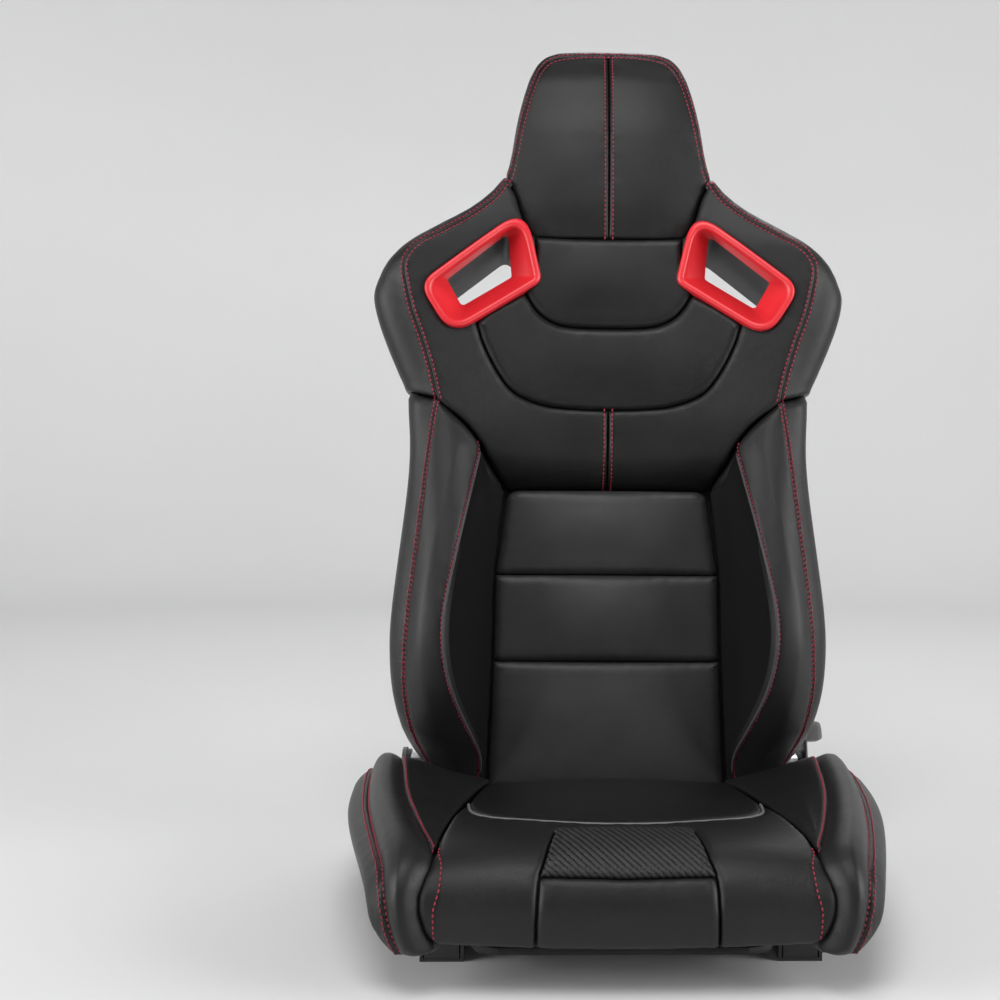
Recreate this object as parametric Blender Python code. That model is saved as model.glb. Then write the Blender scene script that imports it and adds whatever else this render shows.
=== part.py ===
"""Reclining sport seat: rails, cushion base, recliner and padded backrest.

Metres, +Z up. The seat faces -Y and +X is the viewer's right. The origin lies
under the middle of the whole seat, on the floor. The backrest is modelled in
its own frame: local X across, local Z up along the back, local -Y forward,
with the hinge axis on local X.
"""
from math import asin, atan, cos, pi, radians, sin, sqrt

import bmesh
import bpy
from mathutils import Euler, Quaternion, Vector

# Fits
GAP = 0.0003                 # between pieces that touch
PAD_GAP = 0.0006             # between neighbouring pads
PIN_GAP = 0.0004             # round a pin in its hole

# Where the seat stands on its own origin
DATUM_Y = -0.0453            # moves the modelled seat onto its bounding box centre

# Rails
RAIL_X = 0.163
RAIL_FRONT = -0.185
RAIL_LENGTH = 0.330
RAIL_WIDTH = 0.040
RAIL_HEIGHT = 0.022
RAIL_WALL = 0.003
RAIL_MOUTH = 0.015
RUNNER_STEM = 0.012
RUNNER_FLANGE = 0.032
RUNNER_FLANGE_THICK = 0.004
RUNNER_LIFT = 0.018          # flange underside above the fixed rail
FOOT_GAP = 0.0012            # runner foot to rail walls and lips

# Cross members, pan and slide release bar
CROSS_HEIGHT = 0.016
CROSS_DEPTH = 0.030
FRONT_CROSS_Y = -0.060
REAR_CROSS_Y = 0.085
PAN_THICK = 0.003
PAN_FRONT_HALF = 0.185
PAN_FRONT = -0.250
PAN_REAR = 0.115
PAN_FLARE = 0.030            # where the pan reaches its full width
PAN_TAB = 0.052              # tabs that carry the recliner plates, behind the pan
PAN_TAB_WIDTH = 0.025
BAR_RADIUS = 0.004
BAR_PIVOT_Y = -0.110
BAR_FRONT_Y = -0.215
BAR_FRONT_DROP = 0.010       # front of the bar below the pivot
BRACKET_THICK = 0.004
BRACKET_LENGTH = 0.026

# Cushion
CUSHION_FRONT = -0.290
CUSHION_REAR = 0.140
CUSHION_HALF = 0.268
CUSHION_FRONT_HALF = 0.238
CUSHION_WIDEST = 0.020
CUSHION_BASE_INSET = 0.020   # sides drawn in towards the base
CENTRE_HALF_FRONT = 0.190
CENTRE_HALF_REAR = 0.130
CENTRE_TOP_REAR = 0.087
CENTRE_TOP_FRONT = 0.126
CENTRE_CROWN = 0.008
CUSHION_ROLL = 0.075         # length of the rolled front edge
CUSHION_ROLL_DROP = 0.050
CUSHION_SEAM_Y = -0.060
SEAM_DEPTH = 0.006
SEAM_WIDTH = 0.016
BOLSTER_RISE_REAR = 0.042
BOLSTER_RISE_FRONT = 0.010
BOLSTER_RIDGE = 0.50         # ridge place across a cushion bolster, 0 is inner
BOLSTER_SHOULDER = 0.030     # outer edge below the ridge
BOLSTER_CORNER = 0.030

# Recliner
HINGE_Y = 0.215
HINGE_Z = 0.070
RECLINE = radians(9)
SHAFT_RADIUS = 0.006
PLATE_THICK = 0.004
PLATE_RADIUS = 0.034
PLATE_ROUND = radians(140)   # where the plate leaves its round head
PLATE_FOOT = 0.030           # plate height along its foot
PLATE_REACH = 0.072          # plate foot forward of the hinge
DISC_RADIUS = 0.030
DISC_THICK = 0.0145
ARM_WIDTH = 0.036
ARM_LENGTH = 0.200
ARM_ROUND = 0.6              # angle left off each end of the arm's round foot
COVER_RADIUS = 0.036
COVER_THICK = 0.005
LEVER_THICK = 0.005
LEVER_HUB = 0.016
LEVER_NECK = 0.5             # angle of the hub that the lever's blade takes up
LEVER_REACH = 0.042
LEVER_WIDTH = 0.015
LEVER_DROOP = radians(15)
GRIP_LENGTH = 0.028
GRIP_RADIUS = 0.0072
NUT_RADIUS = 0.010
NUT_THICK = 0.005

# Backrest frame and shell
TUBE_RADIUS = 0.0125
FRAME_HALF = 0.190
FRAME_NECK_HALF = 0.054
FRAME_FOOT = 0.020
FRAME_SHOULDER = 0.430
FRAME_TOP = 0.780
FRAME_SLOPE = 0.6            # rise over run of the frame's shoulders
FRAME_BEND = 2.5 * TUBE_RADIUS
CROSSBAR_RADIUS = 0.008
CROSSBAR_HEIGHTS = (0.120, 0.380)
SHELL_DEPTH = 0.050
SHELL_WALL = 0.004
SHELL_INSET = 0.012          # shell edge inside the padded outline

# Backrest pads, as heights along the back and half widths across it
BACK_TOP = 0.846
BACK_FOOT = -0.050
HEAD_SEAM = 0.617
NECK_FOOT = 0.515
CHEST_FOOT = 0.421
LUMBAR_TOP = 0.330
LUMBAR_CHANNELS = (0.233, 0.135)
CHANNEL_WIDTH = 0.022
CHANNEL_DEPTH = 0.014
HEAD_TOP_HALF = 0.072
HEAD_HALF = 0.112
HEAD_BASE_HALF = 0.117
HEAD_BASE = 0.690
HEAD_SEAM_HALF = 0.087
HEAD_CHEEK = 0.05            # headrest's widest place above its base
HEAD_BOW = 0.012             # headrest's top corners below its middle
HEAD_TOP_ROLL = 0.10         # length over which the headrest thins to its top
HEAD_CROWN = 0.010
NECK_WAIST_HALF = 0.081
NECK_FOOT_HALF = 0.070
CHEST_HALF = 0.098
CHEST_FOOT_HALF = 0.075
SHOULDER_HALF = 0.268
SHOULDER = 0.541
WAIST_HALF = 0.223
WAIST = 0.427
WING_WIDEST = 0.45           # places along a wing's outer edge, waist 0 to headrest 1
WING_BROW = 0.62
WING_BROW_IN = 0.018
WING_BROW_RISE = 0.040
WING_CHEST = 0.30            # places along a wing's inner edge, chest foot 0 to headrest 1
WING_NECK = 0.50
WING_NECK_WAIST = 0.70
LUMBAR_TOP_HALF = 0.116
LUMBAR_FOOT_HALF = 0.134
UPPER_SWEEP = 0.7            # bow of the upper back's outer edge
BOLSTER_SWEEP = 1.5          # bow of the back bolsters' top edge
SIDE_HALF = 0.243
SIDE = 0.135
SIDE_FOOT = 0.050
SIDE_FOOT_HALF = 0.234
SIDE_HEEL = -0.020
SIDE_HEEL_HALF = 0.185
EDGE_DROP = 0.012            # pads sink this far at their seams
EDGE_WIDTH = 0.028
EDGE_LEAST = 0.010           # least thickness of a pad at its edge

# Front surface of the backrest, forward of the hinge plane
LUMBAR_DEPTH = 0.045
LUMBAR_SWELL = 0.008
CHEST_DEPTH = 0.074
HEAD_DEPTH = 0.078
HEAD_TOP_DEPTH = 0.046
WING_DEPTH = 0.118
RIDGE_DEPTH = 0.155
SIDE_DEPTH = 0.108
RIDGE_PLACE = 0.48           # ridge place across a back bolster, 0 is inner
RIDGE_LEAD = 0.030           # ridge reaches full height this far above the widest place
RIDGE_FADE = 0.50            # share of the ridge that fades out at the waist
HINGE_CLEAR = 0.002          # bolsters clear the hinge covers by this

# Harness openings through the shoulder wings
SLOT_X = 0.145
SLOT_HEIGHT = 0.565
SLOT_HALF_WIDE = 0.052
SLOT_HALF_TALL = 0.023
SLOT_TURN = radians(-38)     # long side falls towards the shoulder
SLOT_CORNER = 0.012
BEZEL_WALL = 0.0035
BEZEL_RIM = 0.010
BEZEL_RIM_THICK = 0.005
REAR_TRIM_RIM = 0.008
REAR_TRIM_THICK = 0.004

PAD_BACK = TUBE_RADIUS + GAP
RAIL_MID_Y = RAIL_FRONT + RAIL_LENGTH / 2
RUNNER_TOP = RAIL_HEIGHT + RUNNER_LIFT + RUNNER_FLANGE_THICK
PAN_Z = RUNNER_TOP + GAP
CUSHION_Z = PAN_Z + PAN_THICK + GAP
ARM_X = FRAME_HALF + TUBE_RADIUS + GAP
DISC_X = ARM_X + PLATE_THICK + GAP
PLATE_X = DISC_X + DISC_THICK + GAP
COVER_X = PLATE_X + PLATE_THICK + GAP
LEVER_X = COVER_X + COVER_THICK + GAP
NUT_X = LEVER_X + LEVER_THICK + GAP


def clear_scene():
    """Remove every object that the file opened with."""
    for item in list(bpy.data.objects):
        bpy.data.objects.remove(item, do_unlink=True)


def new_collection(name):
    """Make a collection in the scene."""
    group = bpy.data.collections.new(name)
    bpy.context.scene.collection.children.link(group)
    return group


clear_scene()
PARTS = new_collection("racing_seat")
CUTTERS = new_collection("seat_cutters")


def material(name, colour, roughness, metallic=0.0):
    """Plain surface with the part's colour, roughness and metallic value."""
    surface = bpy.data.materials.new(name)
    surface.use_nodes = True
    shader = surface.node_tree.nodes["Principled BSDF"]
    shader.inputs["Base Color"].default_value = (*colour, 1.0)
    shader.inputs["Roughness"].default_value = roughness
    shader.inputs["Metallic"].default_value = metallic
    return surface


LEATHER = material("black_leatherette", (0.030, 0.030, 0.032), 0.45)
RED_TRIM = material("red_trim", (0.70, 0.03, 0.04), 0.35)
BLACK_STEEL = material("black_steel", (0.02, 0.02, 0.02), 0.50, 0.6)
BARE_STEEL = material("bare_steel", (0.55, 0.55, 0.56), 0.30, 1.0)
GREY_COVER = material("grey_cover", (0.10, 0.10, 0.11), 0.50)
BLACK_PLASTIC = material("black_plastic", (0.03, 0.03, 0.03), 0.55)


def empty(name, place, turn_x=0.0, parent=None):
    """Axis marker that moving pieces hang from."""
    marker = bpy.data.objects.new(name, None)
    marker.location = place
    marker.rotation_euler.x = turn_x
    marker.parent = parent
    PARTS.objects.link(marker)
    return marker


SEAT = empty("seat_datum", (0.0, DATUM_Y, 0.0))
BAR_AXIS = empty("bar_axis", (0.0, BAR_PIVOT_Y, RAIL_HEIGHT + RUNNER_LIFT / 2), 0.0, SEAT)
LEVER_AXIS = empty("lever_axis", (0.0, HINGE_Y, HINGE_Z), 0.0, SEAT)
BACK = empty("recline_axis", (0.0, HINGE_Y, HINGE_Z), -RECLINE, SEAT)


def add(name, data, surface, parent, place=(0, 0, 0), turn=(0, 0, 0), group=None):
    """Put mesh or curve data in the scene as a named object."""
    thing = bpy.data.objects.new(name, data)
    thing.location = place
    thing.rotation_euler = turn
    thing.parent = parent
    (group or PARTS).objects.link(thing)
    if surface:
        data.materials.append(surface)
    return thing


def smooth_mesh(mesh, angle=radians(35)):
    """Shade smooth, with edges sharper than the angle kept."""
    mesh.shade_smooth()
    mesh.set_sharp_from_angle(angle=angle)


def box_mesh(name, size, centre=(0, 0, 0)):
    """Box primitive of a size about a centre."""
    bm = bmesh.new()
    bmesh.ops.create_cube(bm, size=1.0)
    bmesh.ops.scale(bm, vec=size, verts=bm.verts)
    bmesh.ops.translate(bm, vec=centre, verts=bm.verts)
    mesh = bpy.data.meshes.new(name)
    bm.to_mesh(mesh)
    bm.free()
    return mesh


def outline_curve(name, loops, thickness):
    """Flat outline, with holes as further loops, extruded evenly to a thickness."""
    curve = bpy.data.curves.new(name, "CURVE")
    curve.dimensions = "2D"
    curve.fill_mode = "BOTH"
    curve.extrude = thickness / 2
    for loop in loops:
        spline = curve.splines.new("POLY")
        spline.points.add(len(loop) - 1)
        for point, (across, up) in zip(spline.points, loop):
            point.co = (across, up, 0.0, 1.0)
        spline.use_cyclic_u = True
    return curve


def tube_curve(name, points, radius, smooth=False):
    """Round tube with closed ends along a route."""
    curve = bpy.data.curves.new(name, "CURVE")
    curve.dimensions = "3D"
    curve.bevel_depth = radius
    curve.bevel_resolution = 2
    curve.use_fill_caps = True
    curve.resolution_u = 5
    spline = curve.splines.new("BEZIER" if smooth else "POLY")
    if smooth:
        spline.bezier_points.add(len(points) - 1)
        for knot, place in zip(spline.bezier_points, points):
            knot.co = place
            knot.handle_left_type = knot.handle_right_type = "AUTO"
    else:
        spline.points.add(len(points) - 1)
        for knot, place in zip(spline.points, points):
            knot.co = (*place, 1.0)
    return curve


def to_mesh_object(thing):
    """Turn a curve object into a welded mesh object of the same name."""
    bpy.context.view_layer.update()
    evaluated = thing.evaluated_get(bpy.context.evaluated_depsgraph_get())
    mesh = bpy.data.meshes.new_from_object(evaluated)
    name, parent, surface = thing.name, thing.parent, thing.data.materials[0]
    basis, group = thing.matrix_basis.copy(), thing.users_collection[0]
    bpy.data.objects.remove(thing, do_unlink=True)
    bm = bmesh.new()
    bm.from_mesh(mesh)
    bmesh.ops.remove_doubles(bm, verts=bm.verts, dist=1e-6)
    bm.to_mesh(mesh)
    bm.free()
    mesh.materials.clear()
    solid = add(name, mesh, surface, parent, group=group)
    solid.matrix_basis = basis
    return solid


def arc(centre, radius, start, end, steps=10):
    """Points of an arc, ends included."""
    angles = [start + (end - start) * k / steps for k in range(steps + 1)]
    return [(centre[0] + radius * cos(a), centre[1] + radius * sin(a)) for a in angles]


def circle(radius, sides=24, centre=(0.0, 0.0)):
    """Points of a full circle."""
    return arc(centre, radius, 0.0, 2 * pi * (sides - 1) / sides, sides - 1)


def rounded_box(half_wide, half_tall, corner, turn=0.0, centre=(0.0, 0.0), steps=4):
    """Rounded rectangle, turned about its middle."""
    points = []
    for quarter, (sx, sy) in enumerate(((1, 1), (-1, 1), (-1, -1), (1, -1))):
        middle = (sx * (half_wide - corner), sy * (half_tall - corner))
        start = quarter * pi / 2
        points += arc(middle, corner, start, start + pi / 2, steps)
    return [(centre[0] + x * cos(turn) - y * sin(turn), centre[1] + x * sin(turn) + y * cos(turn))
            for x, y in points]


def ease(low, high, value):
    """Smooth step from 0 at low to 1 at high."""
    share = min(1.0, max(0.0, (value - low) / (high - low)))
    return share * share * (3 - 2 * share)


def through(knots, value):
    """Smooth value through (place, value) knots that rise in place."""
    for (low, first), (high, last) in zip(knots, knots[1:]):
        if value <= high:
            return first + (last - first) * ease(low, high, value)
    return knots[-1][1]


def straight(knots, value):
    """Straight-line value through (place, value) knots that rise in place."""
    for (low, first), (high, last) in zip(knots, knots[1:]):
        if value <= high:
            share = min(1.0, max(0.0, (value - low) / (high - low)))
            return first + (last - first) * share
    return knots[-1][1]


def cut(target, cutter, operation="DIFFERENCE"):
    """Take a cutter away from a mesh object, or join it on."""
    cutter.hide_render = True
    cutter.display_type = "WIRE"
    step = target.modifiers.new("cut", "BOOLEAN")
    step.operation = operation
    step.object = cutter
    step.solver = "EXACT"


SIDES = (("l", -1), ("r", 1))
ALONG_Y = (pi / 2, 0.0, 0.0)
ALONG_X = (pi / 2, 0.0, pi / 2)


# Rails and base structure

def rails():
    """Fixed channel rails and the runners that slide in them."""
    half, mouth = RAIL_WIDTH / 2, RAIL_MOUTH / 2
    inner, lip = half - RAIL_WALL, RAIL_HEIGHT - RAIL_WALL
    channel = [(-half, 0), (half, 0), (half, RAIL_HEIGHT), (mouth, RAIL_HEIGHT), (mouth, lip), (inner, lip),
               (inner, RAIL_WALL), (-inner, RAIL_WALL), (-inner, lip), (-mouth, lip),
               (-mouth, RAIL_HEIGHT), (-half, RAIL_HEIGHT)]
    foot, stem, flange = inner - FOOT_GAP, RUNNER_STEM / 2, RUNNER_FLANGE / 2
    base, ankle = RAIL_WALL + GAP, lip - FOOT_GAP
    under = RUNNER_TOP - RUNNER_FLANGE_THICK
    runner = [(-foot, base), (foot, base), (foot, ankle), (stem, ankle), (stem, under), (flange, under),
              (flange, RUNNER_TOP), (-flange, RUNNER_TOP), (-flange, under), (-stem, under),
              (-stem, ankle), (-foot, ankle)]
    for side, sign in SIDES:
        place = (sign * RAIL_X, RAIL_MID_Y, 0.0)
        add(f"lower_rail_{side}", outline_curve("channel", [channel], RAIL_LENGTH), BLACK_STEEL, SEAT,
            place, ALONG_Y)
        add(f"upper_rail_{side}", outline_curve("runner", [runner], RAIL_LENGTH), BLACK_STEEL, SEAT,
            place, ALONG_Y)


def cross_members():
    """Members between the runners, and the pan that the cushion sits on."""
    half = RAIL_X - RUNNER_FLANGE / 2 - GAP
    level = RUNNER_TOP - CROSS_HEIGHT / 2
    for name, y in (("front", FRONT_CROSS_Y), ("rear", REAR_CROSS_Y)):
        bar = box_mesh("cross", (2 * half, CROSS_DEPTH, CROSS_HEIGHT))
        add(f"{name}_crossmember", bar, BLACK_STEEL, SEAT, (0, y, level))
    wide = PLATE_X - GAP
    tab = PAN_REAR + PAN_TAB
    inner = wide - PAN_TAB_WIDTH
    edge = [(PAN_FRONT_HALF, PAN_FRONT), (wide, PAN_FLARE), (wide, tab), (inner, tab), (inner, PAN_REAR)]
    sheet = edge + [(-x, y) for x, y in reversed(edge)]
    pan = outline_curve("pan", [sheet], PAN_THICK)
    add("seat_pan", pan, BLACK_STEEL, SEAT, (0, 0, PAN_Z + PAN_THICK / 2))


def release_bar():
    """Bar under the front of the cushion, hung from a bracket on each runner."""
    axis_z = RAIL_HEIGHT + RUNNER_LIFT / 2
    tall = RUNNER_LIFT - FOOT_GAP - GAP
    inner = RAIL_X - RUNNER_FLANGE / 2 + BRACKET_THICK / 2 + GAP
    for side, sign in SIDES:
        plate = rounded_box(BRACKET_LENGTH / 2, tall / 2, tall / 4)
        hole = circle(BAR_RADIUS + PIN_GAP, 16)
        lift = (FOOT_GAP - GAP) / 2
        shifted = [(y, z + lift) for y, z in plate]
        add(f"bar_bracket_{side}", outline_curve("bracket", [shifted, hole], BRACKET_THICK), BLACK_STEEL, SEAT,
            (sign * inner, BAR_PIVOT_Y, axis_z), ALONG_X)
    end = inner + BRACKET_THICK
    arm = RAIL_X - RAIL_WIDTH / 2 - 2 * BAR_RADIUS
    reach = BAR_FRONT_Y - BAR_PIVOT_Y
    bend = 3 * BAR_RADIUS
    half = [(end, 0, 0), (arm + bend, 0, 0), (arm + bend / 3, -bend / 3, 0), (arm, -bend, 0),
            (arm, reach + 2 * bend, -BAR_FRONT_DROP), (arm - bend / 2, reach + bend / 2, -BAR_FRONT_DROP),
            (arm - 2 * bend, reach, -BAR_FRONT_DROP)]
    route = half + [(-x, y, z) for x, y, z in reversed(half)]
    add("towel_bar", tube_curve("bar", route, BAR_RADIUS), BLACK_STEEL, BAR_AXIS)


# Cushion

def pad_mesh(name, across, along, front, back):
    """Soft pad: a grid is shaped by front(u, v), then pulled back to back(u, v).

    u runs across the pad and v along it, both from 0 to 1.
    """
    bm = bmesh.new()
    bmesh.ops.create_grid(bm, x_segments=across, y_segments=along, size=0.5)
    shares = {vert: (vert.co.x + 0.5, vert.co.y + 0.5) for vert in bm.verts}
    sheet = list(bm.faces)
    rear = bmesh.ops.extrude_face_region(bm, geom=sheet)["geom"]
    rear_verts = [item for item in rear if isinstance(item, bmesh.types.BMVert)]
    rear_shares = [(vert, vert.co.x + 0.5, vert.co.y + 0.5) for vert in rear_verts]
    for vert, (u, v) in shares.items():
        vert.co = front(u, v)
    for vert, u, v in rear_shares:
        vert.co = back(u, v)
    bmesh.ops.recalc_face_normals(bm, faces=bm.faces)
    if bm.calc_volume(signed=True) < 0:
        bmesh.ops.reverse_faces(bm, faces=bm.faces)
    mesh = bpy.data.meshes.new(name)
    bm.to_mesh(mesh)
    bm.free()
    smooth_mesh(mesh)
    return mesh


def edge_share(u, v, wide, tall):
    """0 on a pad's edge, 1 inside it by the edge width."""
    nearest = min(min(u, 1 - u) * wide, min(v, 1 - v) * tall)
    return sqrt(max(0.0, 1 - (1 - min(1.0, nearest / EDGE_WIDTH)) ** 2))


def centre_half(y):
    """Half width of the cushion's centre panel."""
    return straight(((CUSHION_FRONT, CENTRE_HALF_FRONT), (CUSHION_REAR, CENTRE_HALF_REAR)), y)


def front_roll(y):
    """Drop of the cushion's rolled front edge."""
    share = min(1.0, max(0.0, (CUSHION_FRONT + CUSHION_ROLL - y) / CUSHION_ROLL))
    return CUSHION_ROLL_DROP * (1 - sqrt(1 - share * share))


def centre_level(y):
    """Level of the centre panel before its roll and crown."""
    return straight(((CUSHION_FRONT, CENTRE_TOP_FRONT), (CUSHION_REAR, CENTRE_TOP_REAR)), y)


def bolster_ridge(y):
    """Level of the cushion bolster's ridge before the front roll."""
    rise = straight(((CUSHION_FRONT, BOLSTER_RISE_FRONT), (CUSHION_REAR, BOLSTER_RISE_REAR)), y)
    return centre_level(y) + rise


def cushion_half(y):
    """Half width of the whole cushion, tapered to the front and rounded at its corners."""
    near = min(y - CUSHION_FRONT, CUSHION_REAR - y)
    share = 1 - min(1.0, near / BOLSTER_CORNER)
    taper = (CUSHION_HALF - CUSHION_FRONT_HALF) * (1 - ease(CUSHION_FRONT, CUSHION_WIDEST, y))
    return CUSHION_HALF - taper - BOLSTER_CORNER / 2 * (1 - sqrt(1 - share * share))


def cushion_centre():
    """Centre panel with its crown, cross seam, drawn-in sides and rolled front."""
    long = CUSHION_REAR - CUSHION_FRONT

    def top(u, v):
        y = CUSHION_FRONT + v * long
        half = centre_half(y) - PAD_GAP / 2
        seam = SEAM_DEPTH * max(0.0, 1 - abs(y - CUSHION_SEAM_Y) / SEAM_WIDTH)
        crown = CENTRE_CROWN * (1 - (2 * u - 1) ** 2)
        edge = EDGE_DROP * (1 - edge_share(u, v, 2 * half, 10 * long))
        return ((2 * u - 1) * half, y, centre_level(y) - front_roll(y) + crown - seam - edge)

    def base(u, v):
        y = CUSHION_FRONT + v * long
        return ((2 * u - 1) * (centre_half(y) - PAD_GAP / 2), y, CUSHION_Z)

    add("cushion_centre", pad_mesh("centre", 14, 24, top, base), LEATHER, SEAT)


def cushion_bolsters():
    """Raised side bolsters with a ridge, rolled front and drawn-in outer wall."""
    long = CUSHION_REAR - CUSHION_FRONT

    def spot(u, v, inset):
        y = CUSHION_FRONT + v * long
        inner = centre_half(y) + PAD_GAP / 2
        return inner + u * (cushion_half(y) - inset - inner), y

    def top(u, v):
        x, y = spot(u, v, 0.0)
        ridge = bolster_ridge(y)
        inner = centre_level(y)
        outer = ridge - BOLSTER_SHOULDER
        level = through(((0, inner), (BOLSTER_RIDGE, ridge), (1, outer)), u)
        rear = EDGE_DROP * (1 - edge_share(0.5, v, 1.0, long)) * (1 if v > 0.5 else 0)
        return (x, y, level - front_roll(y) - rear)

    def base(u, v):
        x, y = spot(u, v, CUSHION_BASE_INSET)
        return (x, y, CUSHION_Z)

    for side, sign in SIDES:
        mesh = pad_mesh("bolster", 10, 20, lambda u, v: mirrored(top(u, v), sign),
                        lambda u, v: mirrored(base(u, v), sign))
        add(f"cushion_bolster_{side}", mesh, LEATHER, SEAT)


def mirrored(point, sign):
    """Point on the right-hand side, or its mirror image."""
    return (sign * point[0], point[1], point[2])


# Recliner

def recliner():
    """Hinge plates, gear discs, arms, covers, cross shaft, lever and end nuts."""
    bore = circle(SHAFT_RADIUS + PIN_GAP, 16)
    foot = PAN_Z - HINGE_Z
    heel = asin(foot / PLATE_RADIUS)
    plate = arc((0, 0), PLATE_RADIUS, heel, PLATE_ROUND, 20)
    plate += [(-PLATE_REACH, foot + PLATE_FOOT), (-PLATE_REACH, foot)]
    arm = arc((0, 0), PLATE_RADIUS, pi + ARM_ROUND, 2 * pi - ARM_ROUND, 12)
    behind = ARM_WIDTH - TUBE_RADIUS
    arm += [(behind, PLATE_RADIUS), (behind, ARM_LENGTH), (-TUBE_RADIUS, ARM_LENGTH),
            (-TUBE_RADIUS, PLATE_RADIUS)]
    hinge = (HINGE_Y, HINGE_Z)
    for side, sign in SIDES:
        def flat(name, loops, thick, start, surface, parent):
            where = (sign * (start + thick / 2), *((0, 0) if parent is BACK else hinge))
            return add(f"{name}_{side}", outline_curve(name, loops, thick), surface, parent, where, ALONG_X)
        flat("back_arm", [arm, bore], PLATE_THICK, ARM_X, BLACK_STEEL, BACK)
        flat("recliner_disc", [circle(DISC_RADIUS, 32), bore], DISC_THICK, DISC_X, BARE_STEEL, BACK)
        flat("recliner_plate", [plate, bore], PLATE_THICK, PLATE_X, BLACK_STEEL, SEAT)
        flat("hinge_cover", [circle(COVER_RADIUS, 32), bore], COVER_THICK, COVER_X, GREY_COVER, SEAT)
    lever_parts(bore)


def lever_parts(bore):
    """Lever on the viewer's right, with the shaft that it turns."""
    left_end, right_end = -(LEVER_X - GAP), NUT_X - GAP
    shaft = tube_curve("shaft", [(left_end, 0, 0), (right_end, 0, 0)], SHAFT_RADIUS)
    add("recliner_shaft", shaft, BARE_STEEL, LEVER_AXIS)
    swing = LEVER_WIDTH / 2
    hub = arc((0, 0), LEVER_HUB, -pi + LEVER_NECK, pi - LEVER_NECK, 20)
    lever = hub + [(-LEVER_REACH, swing), (-LEVER_REACH, -swing)]
    middle = LEVER_X + LEVER_THICK / 2
    handle = add("recline_lever", outline_curve("lever", [lever, bore], LEVER_THICK), BLACK_STEEL, LEVER_AXIS,
                 (middle, 0, 0))
    handle.rotation_mode = "QUATERNION"
    handle.rotation_quaternion = lever_turn()
    start = lever_turn() @ Vector((-LEVER_REACH - GAP, 0, 0))
    tip = lever_turn() @ Vector((-LEVER_REACH - GAP - GRIP_LENGTH, 0, 0))
    grip = tube_curve("grip", [start, tip], GRIP_RADIUS)
    add("lever_grip", grip, BLACK_PLASTIC, LEVER_AXIS, (middle, 0, 0))
    for name, start_x in (("shaft_nut_r", NUT_X), ("shaft_nut_l", -LEVER_X - NUT_THICK)):
        nut = outline_curve("nut", [circle(NUT_RADIUS, 6)], NUT_THICK)
        add(name, nut, BARE_STEEL, LEVER_AXIS, (start_x + NUT_THICK / 2, 0, 0), ALONG_X)


def lever_turn():
    """Turn from the lever's flat outline to its drooped place beside the seat."""
    upright = Euler(ALONG_X).to_quaternion()
    return Quaternion((1, 0, 0), LEVER_DROOP) @ upright


# Backrest structure

def back_frame():
    """Bent side and neck tube with two bars across it."""
    knee = FRAME_SHOULDER + FRAME_SLOPE * (FRAME_HALF - FRAME_NECK_HALF)
    bend = FRAME_BEND
    half = [(FRAME_HALF, FRAME_FOOT), (FRAME_HALF, FRAME_SHOULDER - bend),
            (FRAME_HALF - bend / 3, FRAME_SHOULDER), (FRAME_NECK_HALF + bend / 3, knee),
            (FRAME_NECK_HALF, knee + bend), (FRAME_NECK_HALF, FRAME_TOP - bend),
            (FRAME_NECK_HALF - bend, FRAME_TOP)]
    route = half + [(-x, s) for x, s in reversed(half)]
    tube = tube_curve("frame", [(x, 0.0, s) for x, s in route], TUBE_RADIUS)
    add("back_frame", tube, BLACK_STEEL, BACK)
    for name, height in zip(("lower", "upper"), CROSSBAR_HEIGHTS):
        end = FRAME_HALF - TUBE_RADIUS - GAP
        bar = tube_curve("crossbar", [(-end, 0, height), (end, 0, height)], CROSSBAR_RADIUS)
        add(f"crossbar_{name}", bar, BLACK_STEEL, BACK)


def side_half(s):
    """Half width of the padded backrest below the waist."""
    knots = ((SIDE_HEEL, SIDE_HEEL_HALF), (SIDE_FOOT, SIDE_FOOT_HALF), (SIDE, SIDE_HALF), (WAIST, WAIST_HALF))
    return through(knots, s)


def lumbar_half(s):
    """Half width of the lumbar insert."""
    return straight(((BACK_FOOT, LUMBAR_FOOT_HALF), (LUMBAR_TOP, LUMBAR_TOP_HALF)), s)


def wing_outer(v):
    """Outer edge of a shoulder wing, from waist (0) to headrest base (1)."""
    x = through(((0, WAIST_HALF), (WING_WIDEST, SHOULDER_HALF), (WING_BROW, SHOULDER_HALF - WING_BROW_IN),
                 (1, HEAD_BASE_HALF)), v)
    s = straight(((0, WAIST), (WING_WIDEST, SHOULDER), (WING_BROW, SHOULDER + WING_BROW_RISE),
                  (1, HEAD_BASE)), v)
    return x, s


def wing_inner(v):
    """Inner edge of a shoulder wing, past the chest, the neck and the headrest."""
    knots_x = ((0, CHEST_FOOT_HALF), (WING_CHEST, CHEST_HALF), (WING_NECK, NECK_FOOT_HALF),
               (WING_NECK_WAIST, NECK_WAIST_HALF), (1, HEAD_SEAM_HALF))
    s = straight(((0, CHEST_FOOT), (WING_NECK, NECK_FOOT), (1, HEAD_SEAM)), v)
    return straight(knots_x, v), s


def wing_depth(x):
    """Front surface of the wings, canted forward towards their outer edge."""
    return CHEST_DEPTH + (WING_DEPTH - CHEST_DEPTH) * ease(CHEST_FOOT_HALF / 2, SHOULDER_HALF, abs(x))


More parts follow.
